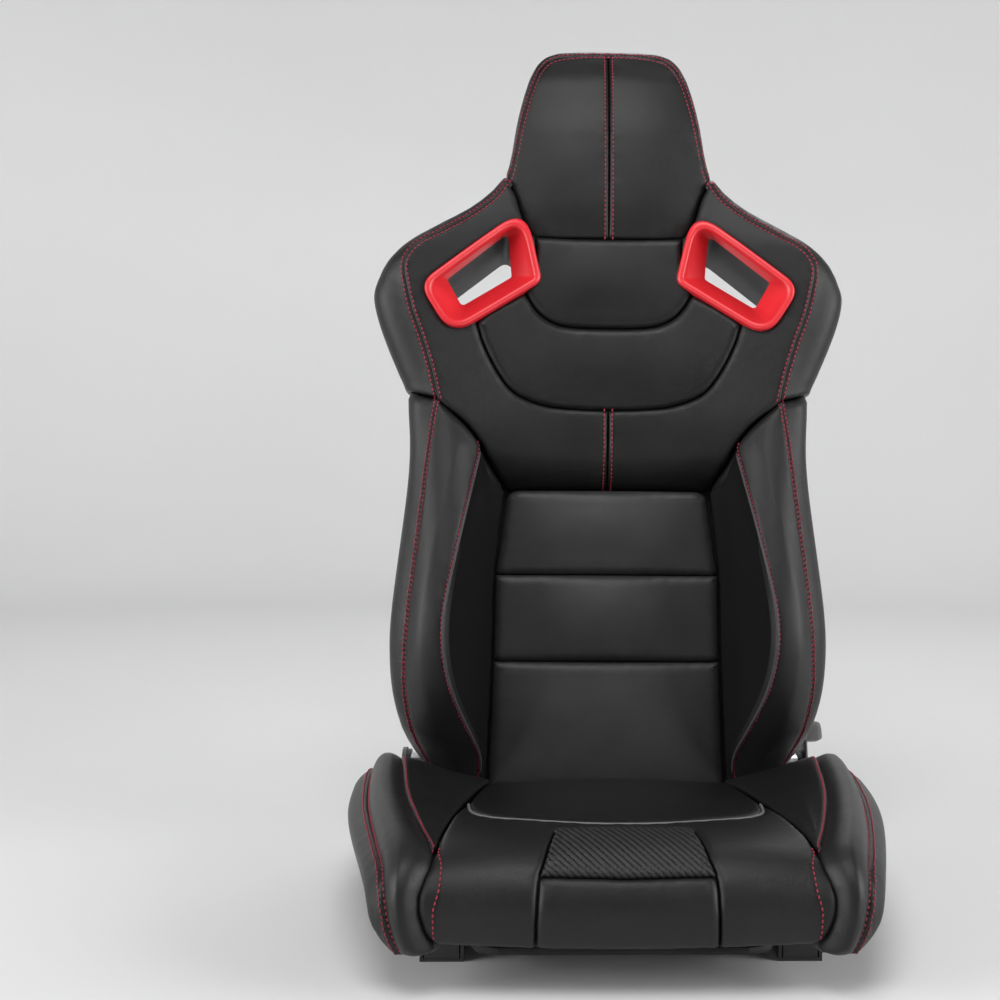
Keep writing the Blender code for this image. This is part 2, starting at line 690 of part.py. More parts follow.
def back_pad(name, across, along, spot, depth, wide, tall):
    """Pad on the backrest from spot(u, v) -> x, s and depth(x, s, u, v)."""
    def front(u, v):
        x, s = spot(u, v)
        sunk = EDGE_DROP * (1 - edge_share(u, v, wide, tall))
        return (x, -max(PAD_BACK + EDGE_LEAST, depth(x, s, u, v) - sunk), s)

    def rear(u, v):
        x, s = spot(u, v)
        return (x, -PAD_BACK, s)

    return add(name, pad_mesh(name, across, along, front, rear), LEATHER, BACK)


def head_and_neck():
    """Headrest, neck insert and chest panel, down the middle of the back."""
    head_knots = ((HEAD_SEAM, HEAD_SEAM_HALF), (HEAD_BASE, HEAD_BASE_HALF), (HEAD_BASE + HEAD_CHEEK, HEAD_HALF),
                  (BACK_TOP, HEAD_TOP_HALF))
    inset = PAD_GAP / 2

    def head_spot(u, v):
        s = HEAD_SEAM + inset + v * (BACK_TOP - HEAD_SEAM - inset)
        bow = HEAD_BOW * (2 * u - 1) ** 2 * ease(HEAD_BASE, BACK_TOP, s)
        return (2 * u - 1) * (straight(head_knots, s) - inset), s - bow

    def head_depth(x, s, u, v):
        top = ease(BACK_TOP - HEAD_TOP_ROLL, BACK_TOP, s) * (HEAD_DEPTH - HEAD_TOP_DEPTH)
        return HEAD_DEPTH - top - HEAD_CROWN * (2 * u - 1) ** 2

    back_pad("headrest_pad", 14, 14, head_spot, head_depth, 2 * HEAD_HALF, BACK_TOP - HEAD_SEAM)

    neck_share = (WING_NECK_WAIST - WING_NECK) / (1 - WING_NECK)
    neck_waist = NECK_FOOT + neck_share * (HEAD_SEAM - NECK_FOOT)
    neck_knots = ((NECK_FOOT, NECK_FOOT_HALF), (neck_waist, NECK_WAIST_HALF), (HEAD_SEAM, HEAD_SEAM_HALF))
    chest_wide = CHEST_FOOT + WING_CHEST / WING_NECK * (NECK_FOOT - CHEST_FOOT)
    chest_knots = ((CHEST_FOOT, CHEST_FOOT_HALF), (chest_wide, CHEST_HALF), (NECK_FOOT, NECK_FOOT_HALF))
    middle_pad("neck_pad", 10, 10, neck_knots, CHEST_DEPTH)
    middle_pad("chest_pad", 10, 10, chest_knots, CHEST_DEPTH)


def middle_pad(name, across, along, knots, depth):
    """Pad across the middle of the back between the heights of its width knots."""
    low, high = knots[0][0] + PAD_GAP / 2, knots[-1][0] - PAD_GAP / 2

    def spot(u, v):
        s = low + v * (high - low)
        return (2 * u - 1) * (straight(knots, s) - PAD_GAP), s

    back_pad(name, across, along, spot, lambda x, s, u, v: depth, 2 * knots[0][1], high - low)


def shoulder_wings():
    """Wings either side of the neck, each cut for its harness bezel."""
    for side, sign in SIDES:
        def spot(u, v):
            (ax, a_s), (bx, b_s) = wing_inner(v), wing_outer(v)
            x = ax + PAD_GAP + u * (bx - ax - PAD_GAP)
            return sign * x, a_s + u * (b_s - a_s)
        wing = back_pad(f"shoulder_wing_{side}", 10, 20, spot, lambda x, s, u, v: wing_depth(x),
                        SHOULDER_HALF - CHEST_HALF, HEAD_BASE - WAIST)
        grow = BEZEL_WALL + GAP
        cut(wing, slot_cutter(f"wing_slot_{side}", sign, grow))


def lower_back():
    """Upper back halves, lumbar insert with its channels, and the side bolsters."""
    inset = PAD_GAP / 2
    for side, sign in SIDES:
        def upper_spot(u, v):
            brow = ((CHEST_FOOT_HALF, CHEST_FOOT), (WAIST_HALF, WAIST))
            foot, head = LUMBAR_TOP + inset, straight(brow, u * WAIST_HALF) - PAD_GAP
            outer = LUMBAR_TOP_HALF + (WAIST_HALF - LUMBAR_TOP_HALF) * v ** UPPER_SWEEP - 2 * inset
            return sign * (inset + u * (outer - inset)), foot + v * (head - foot)

        def upper_depth(x, s, u, v):
            low = LUMBAR_DEPTH + (CHEST_DEPTH - LUMBAR_DEPTH) * ease(LUMBAR_TOP, CHEST_FOOT, s)
            return low + (wing_depth(x) - CHEST_DEPTH) * v

        back_pad(f"upper_back_{side}", 8, 8, upper_spot, upper_depth, WAIST_HALF, CHEST_FOOT - LUMBAR_TOP)

        def bolster_spot(u, v):
            head = LUMBAR_TOP + (WAIST - LUMBAR_TOP) * u ** BOLSTER_SWEEP - PAD_GAP
            s = SIDE_HEEL + v * (head - SIDE_HEEL)
            inner = lumbar_half(min(s, LUMBAR_TOP)) + inset
            x = inner + u * (side_half(s) - inner)
            if s > LUMBAR_TOP:
                lift = (s - LUMBAR_TOP) / (WAIST - LUMBAR_TOP)
                x = max(x, LUMBAR_TOP_HALF + (WAIST_HALF - LUMBAR_TOP_HALF) * lift + inset)
            return sign * x, s

        def bolster_depth(x, s, u, v):
            rise = ease(SIDE_HEEL, SIDE + RIDGE_LEAD, s) * (1 - RIDGE_FADE * ease(LUMBAR_CHANNELS[0], WAIST, s))
            ridge = LUMBAR_DEPTH + (RIDGE_DEPTH - LUMBAR_DEPTH) * rise
            outer = LUMBAR_DEPTH + (SIDE_DEPTH - LUMBAR_DEPTH) * rise
            return through(((0, LUMBAR_DEPTH), (RIDGE_PLACE, ridge), (1, outer)), u)

        bolster = back_pad(f"back_bolster_{side}", 10, 18, bolster_spot, bolster_depth,
                           SIDE_HALF - LUMBAR_TOP_HALF, 10.0)
        room = outline_curve("hinge_room", [circle(COVER_RADIUS + HINGE_CLEAR, 32)], SIDE_HALF)
        start = ARM_X - GAP
        cutter = add(f"hinge_room_{side}", room, BLACK_PLASTIC, BACK, (sign * (start + SIDE_HALF / 2), 0, 0),
                     ALONG_X, CUTTERS)
        cut(bolster, to_mesh_object(cutter))

    def lumbar_spot(u, v):
        s = BACK_FOOT + v * (LUMBAR_TOP - inset - BACK_FOOT)
        return (2 * u - 1) * (lumbar_half(s) - inset), s

    def lumbar_depth(x, s, u, v):
        channel = sum(max(0.0, 1 - abs(s - seam) / CHANNEL_WIDTH) ** 2 for seam in LUMBAR_CHANNELS)
        swell = LUMBAR_SWELL * (1 - (2 * u - 1) ** 2)
        return LUMBAR_DEPTH + swell - CHANNEL_DEPTH * channel

    back_pad("lumbar_pad", 12, 30, lumbar_spot, lumbar_depth, 2 * LUMBAR_TOP_HALF, LUMBAR_TOP - BACK_FOOT)


def slot_loop(sign, grow=0.0):
    """Outline of a harness opening in the backrest's plane."""
    return rounded_box(SLOT_HALF_WIDE + grow, SLOT_HALF_TALL + grow, SLOT_CORNER + grow,
                       sign * SLOT_TURN, (sign * SLOT_X, SLOT_HEIGHT))


FACE_ON = (pi / 2, 0.0, 0.0)


def slot_cutter(name, sign, grow):
    """Straight cutter through the whole backrest for a harness opening."""
    depth = 4 * (SHELL_DEPTH + WING_DEPTH)
    shape = outline_curve(name, [slot_loop(sign, grow)], depth)
    return to_mesh_object(add(name, shape, BLACK_PLASTIC, BACK, (0, 0, 0), FACE_ON, CUTTERS))


def rim_seat():
    """Forward place of the canted rim's rear plane at the middle of the opening."""
    slope = rise_over_run()
    highest = max(wing_depth(x) - slope * (x - SLOT_X) for x, s in slot_loop(1, BEZEL_RIM))
    return highest + 2 * GAP


def rise_over_run():
    """Slope of the wings' front across the harness openings."""
    rise = wing_depth(SLOT_X + SLOT_HALF_WIDE) - wing_depth(SLOT_X - SLOT_HALF_WIDE)
    return rise / (2 * SLOT_HALF_WIDE)


def rim_loop(sign, grow):
    """Outline of a rim about its own middle, stretched to meet the sleeve when canted."""
    stretch = 1 / cos(atan(rise_over_run()))
    return [((x - sign * SLOT_X) * stretch, s - SLOT_HEIGHT) for x, s in slot_loop(sign, grow)]


def harness_bezels():
    """Red bezels lining the harness openings, each with a canted rim on the front."""
    cant = atan(rise_over_run())
    back_face = TUBE_RADIUS - SHELL_DEPTH
    front = WING_DEPTH + 2 * BEZEL_RIM_THICK
    for side, sign in SIDES:
        loops = [slot_loop(sign, BEZEL_WALL), slot_loop(sign)]
        sleeve = outline_curve("sleeve", loops, front - back_face)
        sleeve = to_mesh_object(add(f"harness_bezel_{side}", sleeve, RED_TRIM, BACK,
                                    (0, -(front + back_face) / 2, 0), FACE_ON))
        middle = (sign * SLOT_X, -(rim_seat() + BEZEL_RIM_THICK / 2 / cos(cant)), SLOT_HEIGHT)
        turn = (pi / 2, 0.0, -sign * cant)
        trim_box = box_mesh("trim", (SHOULDER_HALF, SHOULDER_HALF, SHOULDER_HALF), (0, 0, SHOULDER_HALF / 2))
        cut(sleeve, add(f"sleeve_trim_{side}", trim_box, BLACK_PLASTIC, BACK, middle, turn, CUTTERS))
        rim = outline_curve("rim", [rim_loop(sign, BEZEL_RIM), rim_loop(sign, BEZEL_WALL / 2)], BEZEL_RIM_THICK)
        rim = to_mesh_object(add(f"rim_{side}", rim, RED_TRIM, BACK, middle, turn, CUTTERS))
        cut(sleeve, rim, "UNION")
        trim_loops = [slot_loop(sign, REAR_TRIM_RIM), slot_loop(sign, BEZEL_WALL + GAP)]
        add(f"rear_trim_{side}", outline_curve("rear_trim", trim_loops, REAR_TRIM_THICK), RED_TRIM, BACK,
            (0, -(back_face - GAP - REAR_TRIM_THICK / 2), 0), FACE_ON)


def shell_loop(inset, below=0.0):
    """Outline of the rear shell, inside the padded outline by an inset."""
    rows = [(side_half(s) - inset, s) for s in (SIDE_FOOT, SIDE, (SIDE + WAIST) / 2, WAIST)]
    rows += [(x - inset, s) for x, s in (wing_outer(v) for v in (WING_WIDEST / 2, WING_WIDEST, WING_BROW))]
    rows += [(x - inset, s - inset) for x, s in (wing_outer((1 + WING_BROW) / 2), wing_outer(1.0))]
    rows += [(HEAD_HALF - inset, HEAD_BASE + HEAD_CHEEK), (HEAD_TOP_HALF - inset, BACK_TOP - inset - HEAD_BOW)]
    rows = [(rows[0][0], SIDE_FOOT + inset - below)] + rows[1:]
    return rows + [(-x, s) for x, s in reversed(rows)]


def back_shell():
    """Hard rear shell: a tray round the frame, open to the pads and to the slots."""
    outer = outline_curve("back_shell", [shell_loop(SHELL_INSET)], SHELL_DEPTH)
    middle = TUBE_RADIUS - SHELL_DEPTH / 2
    shell = to_mesh_object(add("back_shell", outer, BLACK_PLASTIC, BACK, (0, -middle, 0), FACE_ON))
    inside = shell_loop(SHELL_INSET + SHELL_WALL, SHELL_DEPTH)
    pocket = outline_curve("shell_pocket", [inside], SHELL_DEPTH)
    hollow = add("shell_pocket", pocket, BLACK_PLASTIC, BACK, (0, -(middle + SHELL_WALL), 0), FACE_ON, CUTTERS)
    cut(shell, to_mesh_object(hollow))
    for side, sign in SIDES:
        cut(shell, slot_cutter(f"shell_slot_{side}", sign, BEZEL_WALL + GAP))


def build():
    """Make every part."""
    rails()
    cross_members()
    release_bar()
    cushion_centre()
    cushion_bolsters()
    recliner()
    back_frame()
    head_and_neck()
    shoulder_wings()
    lower_back()
    harness_bezels()
    back_shell()


build()
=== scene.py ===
"""Looks of the reclining sport seat: sewn leatherette panels, thread, piping, red bezels, steel and plastic.

Metres, +Z up, the seat faces -Y. The backrest's pieces are drawn in the plane of the back as x across,
s along the back and d forward of the hinge plane, and then placed with the backrest's lean.
"""
import logging
from dataclasses import dataclass
from enum import Enum
from math import cos, pi, radians, sin
from typing import Callable, Iterable, Sequence

import bmesh
import bpy
import numpy as np
from mathutils import Matrix, Vector
from mathutils.bvhtree import BVHTree
from mathutils.geometry import barycentric_transform, delaunay_2d_cdt


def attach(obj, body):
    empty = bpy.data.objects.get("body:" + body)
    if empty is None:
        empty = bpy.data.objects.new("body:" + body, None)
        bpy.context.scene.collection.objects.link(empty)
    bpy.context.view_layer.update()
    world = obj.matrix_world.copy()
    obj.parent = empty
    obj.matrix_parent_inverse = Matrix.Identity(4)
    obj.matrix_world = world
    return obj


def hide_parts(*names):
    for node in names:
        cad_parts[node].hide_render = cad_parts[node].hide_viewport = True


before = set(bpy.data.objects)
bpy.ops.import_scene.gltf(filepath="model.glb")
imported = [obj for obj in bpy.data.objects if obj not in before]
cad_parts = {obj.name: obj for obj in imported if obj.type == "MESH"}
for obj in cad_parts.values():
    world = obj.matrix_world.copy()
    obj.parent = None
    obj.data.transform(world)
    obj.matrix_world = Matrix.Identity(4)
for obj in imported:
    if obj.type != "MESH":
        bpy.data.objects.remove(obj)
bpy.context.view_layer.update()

LOG = logging.getLogger("seat")
Line = Sequence[tuple[float, ...]]
Depth = Callable[[np.ndarray, np.ndarray], np.ndarray]
Place = Callable[[np.ndarray, np.ndarray, np.ndarray], np.ndarray]
DATUM_Y = -0.0453            # from the drawn cushion to the seat's origin
HINGE_Y = 0.215 + DATUM_Y
HINGE_Z = 0.070
RECLINE = radians(9)         # lean of the back at rest
PAD_BACK = 0.0135            # rear of the pads, on the frame tube
PAN_TOP = 0.0478             # underside of the cushion, on its pan
SAME_SPOT = 4e-4             # points of a loop nearer than this are one
SEAM_GAP = 0.0003            # gap left between pieces that meet edge to edge
THREAD_LIFT = 0.0004         # height of a stitch row over the leather


class Side(Enum):
    """Hand of a piece, seen by the viewer."""
    LEFT = -1
    RIGHT = 1

    @property
    def tag(self) -> str:
        """Ending of the CAD names on this side."""
        return "l" if self is Side.LEFT else "r"


class Body(Enum):
    """CAD bodies that pieces ride on."""
    SEAT = "seat"
    BACK = "backrest"


# Curves and profiles

def mm(*rows: tuple[float, ...]) -> Line:
    """Rows in metres, from rows drawn in millimetres."""
    return tuple(tuple(value / 1000 for value in row) for row in rows)


def ease(low: float, high: float, value: np.ndarray) -> np.ndarray:
    """Smooth step from 0 at low to 1 at high."""
    share = np.clip((np.asarray(value, float) - low) / (high - low), 0, 1)
    return share * share * (3 - 2 * share)


def through(knots: Line, value: np.ndarray) -> np.ndarray:
    """Smooth value through knots without overshoot.

    Args:
        knots: (place, value) pairs that rise in place.
        value: places to read.
    Returns:
        The value at each place, held flat beyond the ends.
    """
    x, y = np.array(knots, float).T
    step = np.diff(y) / np.diff(x)
    slope = np.zeros_like(y)
    same = step[:-1] * step[1:] > 0
    slope[1:-1][same] = 2 * step[:-1][same] * step[1:][same] / (step[:-1] + step[1:])[same]
    at = np.clip(np.asarray(value, float), x[0], x[-1])
    k = np.clip(np.searchsorted(x, at) - 1, 0, len(x) - 2)
    wide = x[k + 1] - x[k]
    t = (at - x[k]) / wide
    return (y[k] * (1 + 2 * t) * (1 - t) ** 2 + slope[k] * wide * t * (1 - t) ** 2
            + y[k + 1] * t * t * (3 - 2 * t) + slope[k + 1] * wide * t * t * (t - 1))


def unit(rows: np.ndarray) -> np.ndarray:
    """Vectors brought to length 1."""
    return rows / np.maximum(np.linalg.norm(rows, axis=-1, keepdims=True), 1e-12)


def left(tangent: np.ndarray) -> np.ndarray:
    """Flat directions turned a quarter to the left."""
    return np.stack([-tangent[:, 1], tangent[:, 0]], axis=1)


def runs(points: np.ndarray) -> np.ndarray:
    """Run along a line at each of its points."""
    return np.concatenate(([0.0], np.cumsum(np.linalg.norm(np.diff(points, axis=0), axis=1))))


def read(points: np.ndarray, run: np.ndarray, at: np.ndarray | float) -> np.ndarray:
    """Places of a line's points, read between its runs."""
    return np.stack([np.interp(at, run, column) for column in points.T], axis=-1)


def even(points: np.ndarray, count: int) -> np.ndarray:
    """Points spread evenly along a line."""
    run = runs(points)
    return read(points, run, np.linspace(0, run[-1], count))


def bowed(knots: Line, per_span: int = 12) -> np.ndarray:
    """Smooth curve through knots.

    Args:
        knots: places that the curve passes through.
        per_span: points made between two knots.
    Returns:
        Points of the curve, ends included.
    """
    p = np.array(knots, float)
    if len(p) < 3:
        return np.linspace(p[0], p[-1], per_span + 1)
    q = np.vstack([2 * p[0] - p[1], p, 2 * p[-1] - p[-2]])
    t = np.linspace(0, 1, per_span, endpoint=False)[:, None]
    spans = []
    for a, b, c, d in zip(q, q[1:], q[2:], q[3:]):
        spans.append(0.5 * (2 * b + (c - a) * t + (2 * a - 5 * b + 4 * c - d) * t ** 2
                            + (3 * b - a - 3 * c + d) * t ** 3))
    return np.vstack(spans + [p[-1:]])


def faired(points: np.ndarray, per_span: int, held: int = 1) -> np.ndarray:
    """Line with its small waves evened out.

    Args:
        points: points of the line.
        per_span: points between two of its knots.
        held: how many of its first points stay, beside its end.
    Returns:
        As many points.
    """
    points = points.copy()
    for _ in range(round(0.3 * per_span ** 2)):
        points[held:-1] = 0.25 * points[held - 1:-2] + 0.5 * points[held:-1] + 0.25 * points[held + 1:]
    return points


def spaced(knots: Line, step: float, smooth: bool = True) -> np.ndarray:
    """Curve or straight line through knots, cut into even steps."""
    line = bowed(knots) if smooth else np.array(knots, float)
    return even(line, max(2, int(round(runs(line)[-1] / step)) + 1))


def rounded(start: np.ndarray, corner: np.ndarray, end: np.ndarray, count: int) -> np.ndarray:
    """Curve that turns a corner from start to end."""
    t = np.linspace(0, 1, count)[:, None]
    return (1 - t) ** 2 * start + 2 * t * (1 - t) * corner + t ** 2 * end


def joined(*lines: np.ndarray) -> np.ndarray:
    """Closed loop from lines that meet end to end, with doubled points left out."""
    points = np.vstack(lines)
    return points[np.linalg.norm(points - np.roll(points, 1, axis=0), axis=1) > SAME_SPOT]


def mirrored(points: np.ndarray, side: Side) -> np.ndarray:
    """Points on one side, from points on the viewer's right."""
    return points * np.array([side.value] + [1.0] * (points.shape[-1] - 1))


def whole(*lines: np.ndarray) -> np.ndarray:
    """Closed loop from the lines of its right half."""
    half = np.vstack(lines)
    return joined(half, mirrored(half, Side.LEFT)[::-1])


def inward(loop: np.ndarray) -> np.ndarray:
    """Unit normals of a closed loop that point to its inside."""
    x, y = loop.T
    turn = np.sign((x * np.roll(y, -1) - np.roll(x, -1) * y).sum())
    return turn * left(unit(np.roll(loop, -1, axis=0) - np.roll(loop, 1, axis=0)))


def inside(points: np.ndarray, loops: Sequence[np.ndarray]) -> np.ndarray:
    """Which points lie inside the first loop and outside the others."""
    hit = np.zeros(len(points), bool)
    for loop in loops:
        for (ax, ay), (bx, by) in zip(loop, np.roll(loop, -1, axis=0)):
            if ay == by:
                continue
            crosses = (ay > points[:, 1]) != (by > points[:, 1])
            hit ^= crosses & (points[:, 0] < (bx - ax) * (points[:, 1] - ay) / (by - ay) + ax)
    return hit


def edge_distance(points: np.ndarray, loops: Sequence[np.ndarray]) -> tuple[np.ndarray, np.ndarray]:
    """Distance of points to the nearest loop edge, and the run along that loop there."""
    best = np.full(len(points), np.inf)
    along = np.zeros(len(points))
    for loop in loops:
        a, b = loop, np.roll(loop, -1, axis=0)
        run = np.concatenate(([0.0], np.cumsum(np.linalg.norm(b - a, axis=1))[:-1]))
        for (p, q, start) in zip(a, b, run):
            edge = q - p
            long = edge @ edge
            t = np.clip(((points - p) @ edge) / long, 0, 1)
            gap = np.linalg.norm(points - p - t[:, None] * edge, axis=1)
            near = gap < best
            best[near] = gap[near]
            along[near] = start + t[near] * long ** 0.5
    return best, along


# Placing

def on_back(x: np.ndarray, d: np.ndarray, s: np.ndarray) -> np.ndarray:
    """World points of backrest places."""
    return np.stack([x, HINGE_Y + s * sin(RECLINE) - d * cos(RECLINE),
                     HINGE_Z + s * cos(RECLINE) + d * sin(RECLINE)], axis=-1)


def back_line(points: np.ndarray) -> np.ndarray:
    """World points of (x, d, s) rows."""
    return on_back(points[..., 0], points[..., 1], points[..., 2])


def at_depth(line: np.ndarray, depth: np.ndarray | float) -> np.ndarray:
    """(x, d, s) rows of (x, s) points at a depth, for all points or for each."""
    return np.stack([line[:, 0], np.broadcast_to(depth, len(line)), line[:, 1]], axis=1)


def seat_line(points: np.ndarray) -> np.ndarray:
    """World points of cushion rows drawn before the seat was moved onto its origin."""
    return points + np.array([0.0, DATUM_Y, 0.0])


@dataclass(frozen=True)
class Stuffing:
    """How a sewn panel swells.

    Attributes:
        crown: rise of the middle over the drawn surface.
        swell: distance from the seam at which the crown is full.
        roll: radius of the edge that rolls into the seam.
        sink: depth of the seam.
        thick: panel thickness.
        pucker: height of the gathers along the seam.
    """
    crown: float = 0.003
    swell: float = 0.045
    roll: float = 0.007
    sink: float = 0.006
    thick: float = 0.012
    pucker: float = 0.0003

    def edge(self, t: np.ndarray, along: np.ndarray | float = 0.0) -> np.ndarray:
        """Roll into the seam and the gathers beside it, at a distance from the seam."""
        t = np.asarray(t, float)
        near = 1 - np.clip(t / self.roll, 0, 1)
        gather = sum(size * np.sin(along / wave + start) for wave, size, start in GATHERS)
        return self.pucker * np.exp(-t / GATHER_REACH) * gather - self.sink * (1 - np.sqrt(1 - near * near))

    def height(self, t: np.ndarray, along: np.ndarray | float = 0.0) -> np.ndarray:
        """Rise over the drawn surface at a distance from the seam."""
        return self.crown * ease(0, self.swell, t) + self.edge(t, along)


FIRM = Stuffing(roll=0.006, sink=0.0045)
FULL = Stuffing(crown=0.006, swell=0.050, roll=0.008, sink=0.006)
HEAD = Stuffing(crown=0.005, swell=0.050, roll=0.005, sink=0.0030)
DEEP = Stuffing(crown=0.005, swell=0.040, roll=0.014, sink=0.012)
CHANNEL = Stuffing(crown=0.014, swell=0.045, roll=0.011, sink=0.006, thick=0.020, pucker=0.0004)
TIGHT = Stuffing(crown=0.001, swell=0.030, roll=0.005, sink=0.0035, thick=0.009)
PLAIN = Stuffing(crown=0.0, roll=0.004, sink=0.0015, thick=0.012, pucker=0.0)
RINGS = (0.0009, 0.0021, 0.0038, 0.0060, 0.0090)       # mesh lines beside a seam
GATHERS = ((0.0031, 1.0, 0.0), (0.0073, 0.6, 1.3))     # wave, share and start of the gathers
GATHER_REACH = 0.010
SEAM_HELD = 0.0008           # distance from a seam within which a sheet is held
CLOTH_CROWN = 0.002          # crown over which a panel's swell is simulated as cloth
FULL_BULGE = 0.05            # width from which a strip bulges in full
RIB_SLANT = (1.0, 0.42, 0.90)
RIB_SCALE = 98.0
RIB_HEIGHT = 0.0013
RIB_LAND = 0.55              # share of the wave at which a rib is flat
RIB_STEP = 0.0011


def ribs(points: np.ndarray) -> np.ndarray:
    """Height of the diagonal ribs at world points of the cushion at rest."""
    wave = 0.5 - 0.5 * np.cos(10 * RIB_SCALE * (points @ np.array(RIB_SLANT)))
    return RIB_HEIGHT * ease(0, RIB_LAND, wave)


def linked(name: str, data: bpy.types.ID) -> bpy.types.Object:
    """New object in the scene, at the origin."""
    made = bpy.data.objects.new(name, data)
    bpy.context.scene.collection.objects.link(made)
    return made


def mesh_object(name: str, points: np.ndarray, faces: Iterable[Sequence[int]],
                smooth: float = 60) -> bpy.types.Object:
    """New mesh object whose faces point outwards.

    Args:
        name: object name.
        points: vertex places in the world.
        faces: vertex indices of each face.
        smooth: edges sharper than this many degrees stay sharp.
    Returns:
        The object, linked to the scene.
    """
    mesh = bpy.data.meshes.new(name)
    mesh.from_pydata([tuple(map(float, p)) for p in points], [], [tuple(map(int, f)) for f in faces])
    bm = bmesh.new()
    bm.from_mesh(mesh)
    bmesh.ops.remove_doubles(bm, verts=bm.verts, dist=1e-6)
    bmesh.ops.recalc_face_normals(bm, faces=bm.faces)
    if bm.calc_volume(signed=True) < 0:
        bmesh.ops.reverse_faces(bm, faces=bm.faces)
    bm.to_mesh(mesh)
    bm.free()
    mesh.shade_smooth()
    mesh.set_sharp_from_angle(angle=radians(smooth))
    return linked(name, mesh)


def dots(loops: Sequence[np.ndarray], step: float, clear: float) -> np.ndarray:
    """Staggered grid of points inside an outline, clear of its edges."""
    low, high = loops[0].min(0), loops[0].max(0)
    xs = np.arange(low[0], high[0], step)
    ys = np.arange(low[1], high[1], step * 0.87)
    grid = np.array([(x + (j % 2) * step / 2, y) for j, y in enumerate(ys) for x in xs])
    grid = grid[inside(grid, loops)]
    gap, _ = edge_distance(grid, loops)
    return grid[gap > clear]


def fill(loops: Sequence[np.ndarray], points: np.ndarray) -> tuple[np.ndarray, np.ndarray]:
    """Triangles over an outline with holes.

    Args:
        loops: outline and then holes.
        points: those loops' points in order, and then any points inside.
    Returns:
        Flat vertices and triangles.
    """
    edges, start = [], 0
    for loop in loops:
        n = len(loop)
        edges += [(start + k, start + (k + 1) % n) for k in range(n)]
        start += n
    verts, _, faces, *_ = delaunay_2d_cdt([Vector(p) for p in points], edges, [], 0, 1e-7)
    flat = np.array([tuple(v) for v in verts])
    faces = np.array([f for f in faces if len(f) == 3])
    return flat, faces[inside(flat[faces].mean(1), loops)]


def relaxed(value: np.ndarray, faces: np.ndarray, t: np.ndarray, rounds: int = 40) -> np.ndarray:
    """Values evened out over a mesh, held where the distance t from its seams is small."""
    a, b = np.vstack([faces[:, [0, 1]], faces[:, [1, 2]], faces[:, [2, 0]]]).T
    count = np.maximum(np.bincount(a, minlength=len(value)) + np.bincount(b, minlength=len(value)), 1)
    free = t > SEAM_HELD
    for _ in range(rounds):
        mean = (np.bincount(a, value[b], len(value)) + np.bincount(b, value[a], len(value))) / count
        value = np.where(free, 0.4 * value + 0.6 * mean, value)
    return value


class Inflation:
    """Cloth simulation of a panel's flat cut, held along its seams and pressed out by its stuffing."""

    STEP = 0.0085
    FRAMES = 22
    USUAL = 97               # percentile of the rise that counts as full
    CAP = 1.12

    def __init__(self, loops: Sequence[np.ndarray]) -> None:
        """Cut the cloth and let it settle.

        Args:
            loops: the panel's outline and then its holes.
        """
        coarse = []
        for loop in loops:
            closed = np.vstack([loop, loop[:1]])
            coarse.append(even(closed, max(12, int(runs(closed)[-1] / self.STEP)))[:-1])
        seams = sum(len(loop) for loop in coarse)
        flat, faces = fill(coarse, np.vstack(coarse + [dots(coarse, self.STEP, 0.6 * self.STEP)]))
        cross = np.cross(flat[faces[:, 1]] - flat[faces[:, 0]], flat[faces[:, 2]] - flat[faces[:, 0]])
        faces[cross < 0] = faces[cross < 0][:, ::-1]
        mesh = bpy.data.meshes.new("cloth_cut")
        mesh.from_pydata([(x, y, 0.0) for x, y in flat.tolist()], [], faces.tolist())
        cut = linked("cloth_cut", mesh)
        cut.vertex_groups.new(name="seam").add(list(range(seams)), 1.0, "REPLACE")
        self.simulate(cut)
        shape = cut.evaluated_get(bpy.context.evaluated_depsgraph_get()).data
        self.flat = flat
        self.rise = np.array([v.co.z for v in shape.vertices])
        self.faces = faces
        bpy.data.objects.remove(cut)
        bpy.context.scene.frame_set(1)
        LOG.info("cloth: %d points, rise %.1f mm", len(flat), 1000 * self.rise.max())

    def simulate(self, cut: bpy.types.Object) -> None:
        """Run the cloth to its last frame with pressure and without gravity."""
        cloth = cut.modifiers.new("cloth", "CLOTH")
        cloth.point_cache.frame_start, cloth.point_cache.frame_end = 1, self.FRAMES
        cloth.collision_settings.use_collision = False
        rules = cloth.settings
        rules.quality = 6
        rules.tension_stiffness = rules.compression_stiffness = 15.0
        rules.shear_stiffness = 8.0
        rules.bending_stiffness = 0.4
        rules.air_damping = 3.0
        rules.vertex_group_mass = "seam"
        rules.use_pressure = True
        rules.uniform_pressure_force = 4.0
        rules.shrink_min = -0.012
        rules.effector_weights.gravity = 0.0
        for frame_number in range(1, self.FRAMES + 1):
            bpy.context.scene.frame_set(frame_number)

    def share(self, points: np.ndarray) -> np.ndarray:
        """Rise at flat points, as a share of the cloth's usual greatest rise and capped."""
        full = max(float(np.percentile(self.rise, self.USUAL)), 1e-5)
        corner = [(float(x), float(y), 0.0) for x, y in self.flat]
        tree = BVHTree.FromPolygons(corner, self.faces.tolist())
        shares = np.zeros(len(points))
        for k, (x, y) in enumerate(points.tolist()):
            spot, _, index, _ = tree.find_nearest((x, y, 0.0))
            weights = barycentric_transform(spot, *(Vector(corner[i]) for i in self.faces[index]),
                                            *(Vector(row) for row in np.eye(3)))
            shares[k] = float(np.dot(np.array(weights), self.rise[self.faces[index]]))
        return np.clip(shares / full, 0.0, self.CAP)


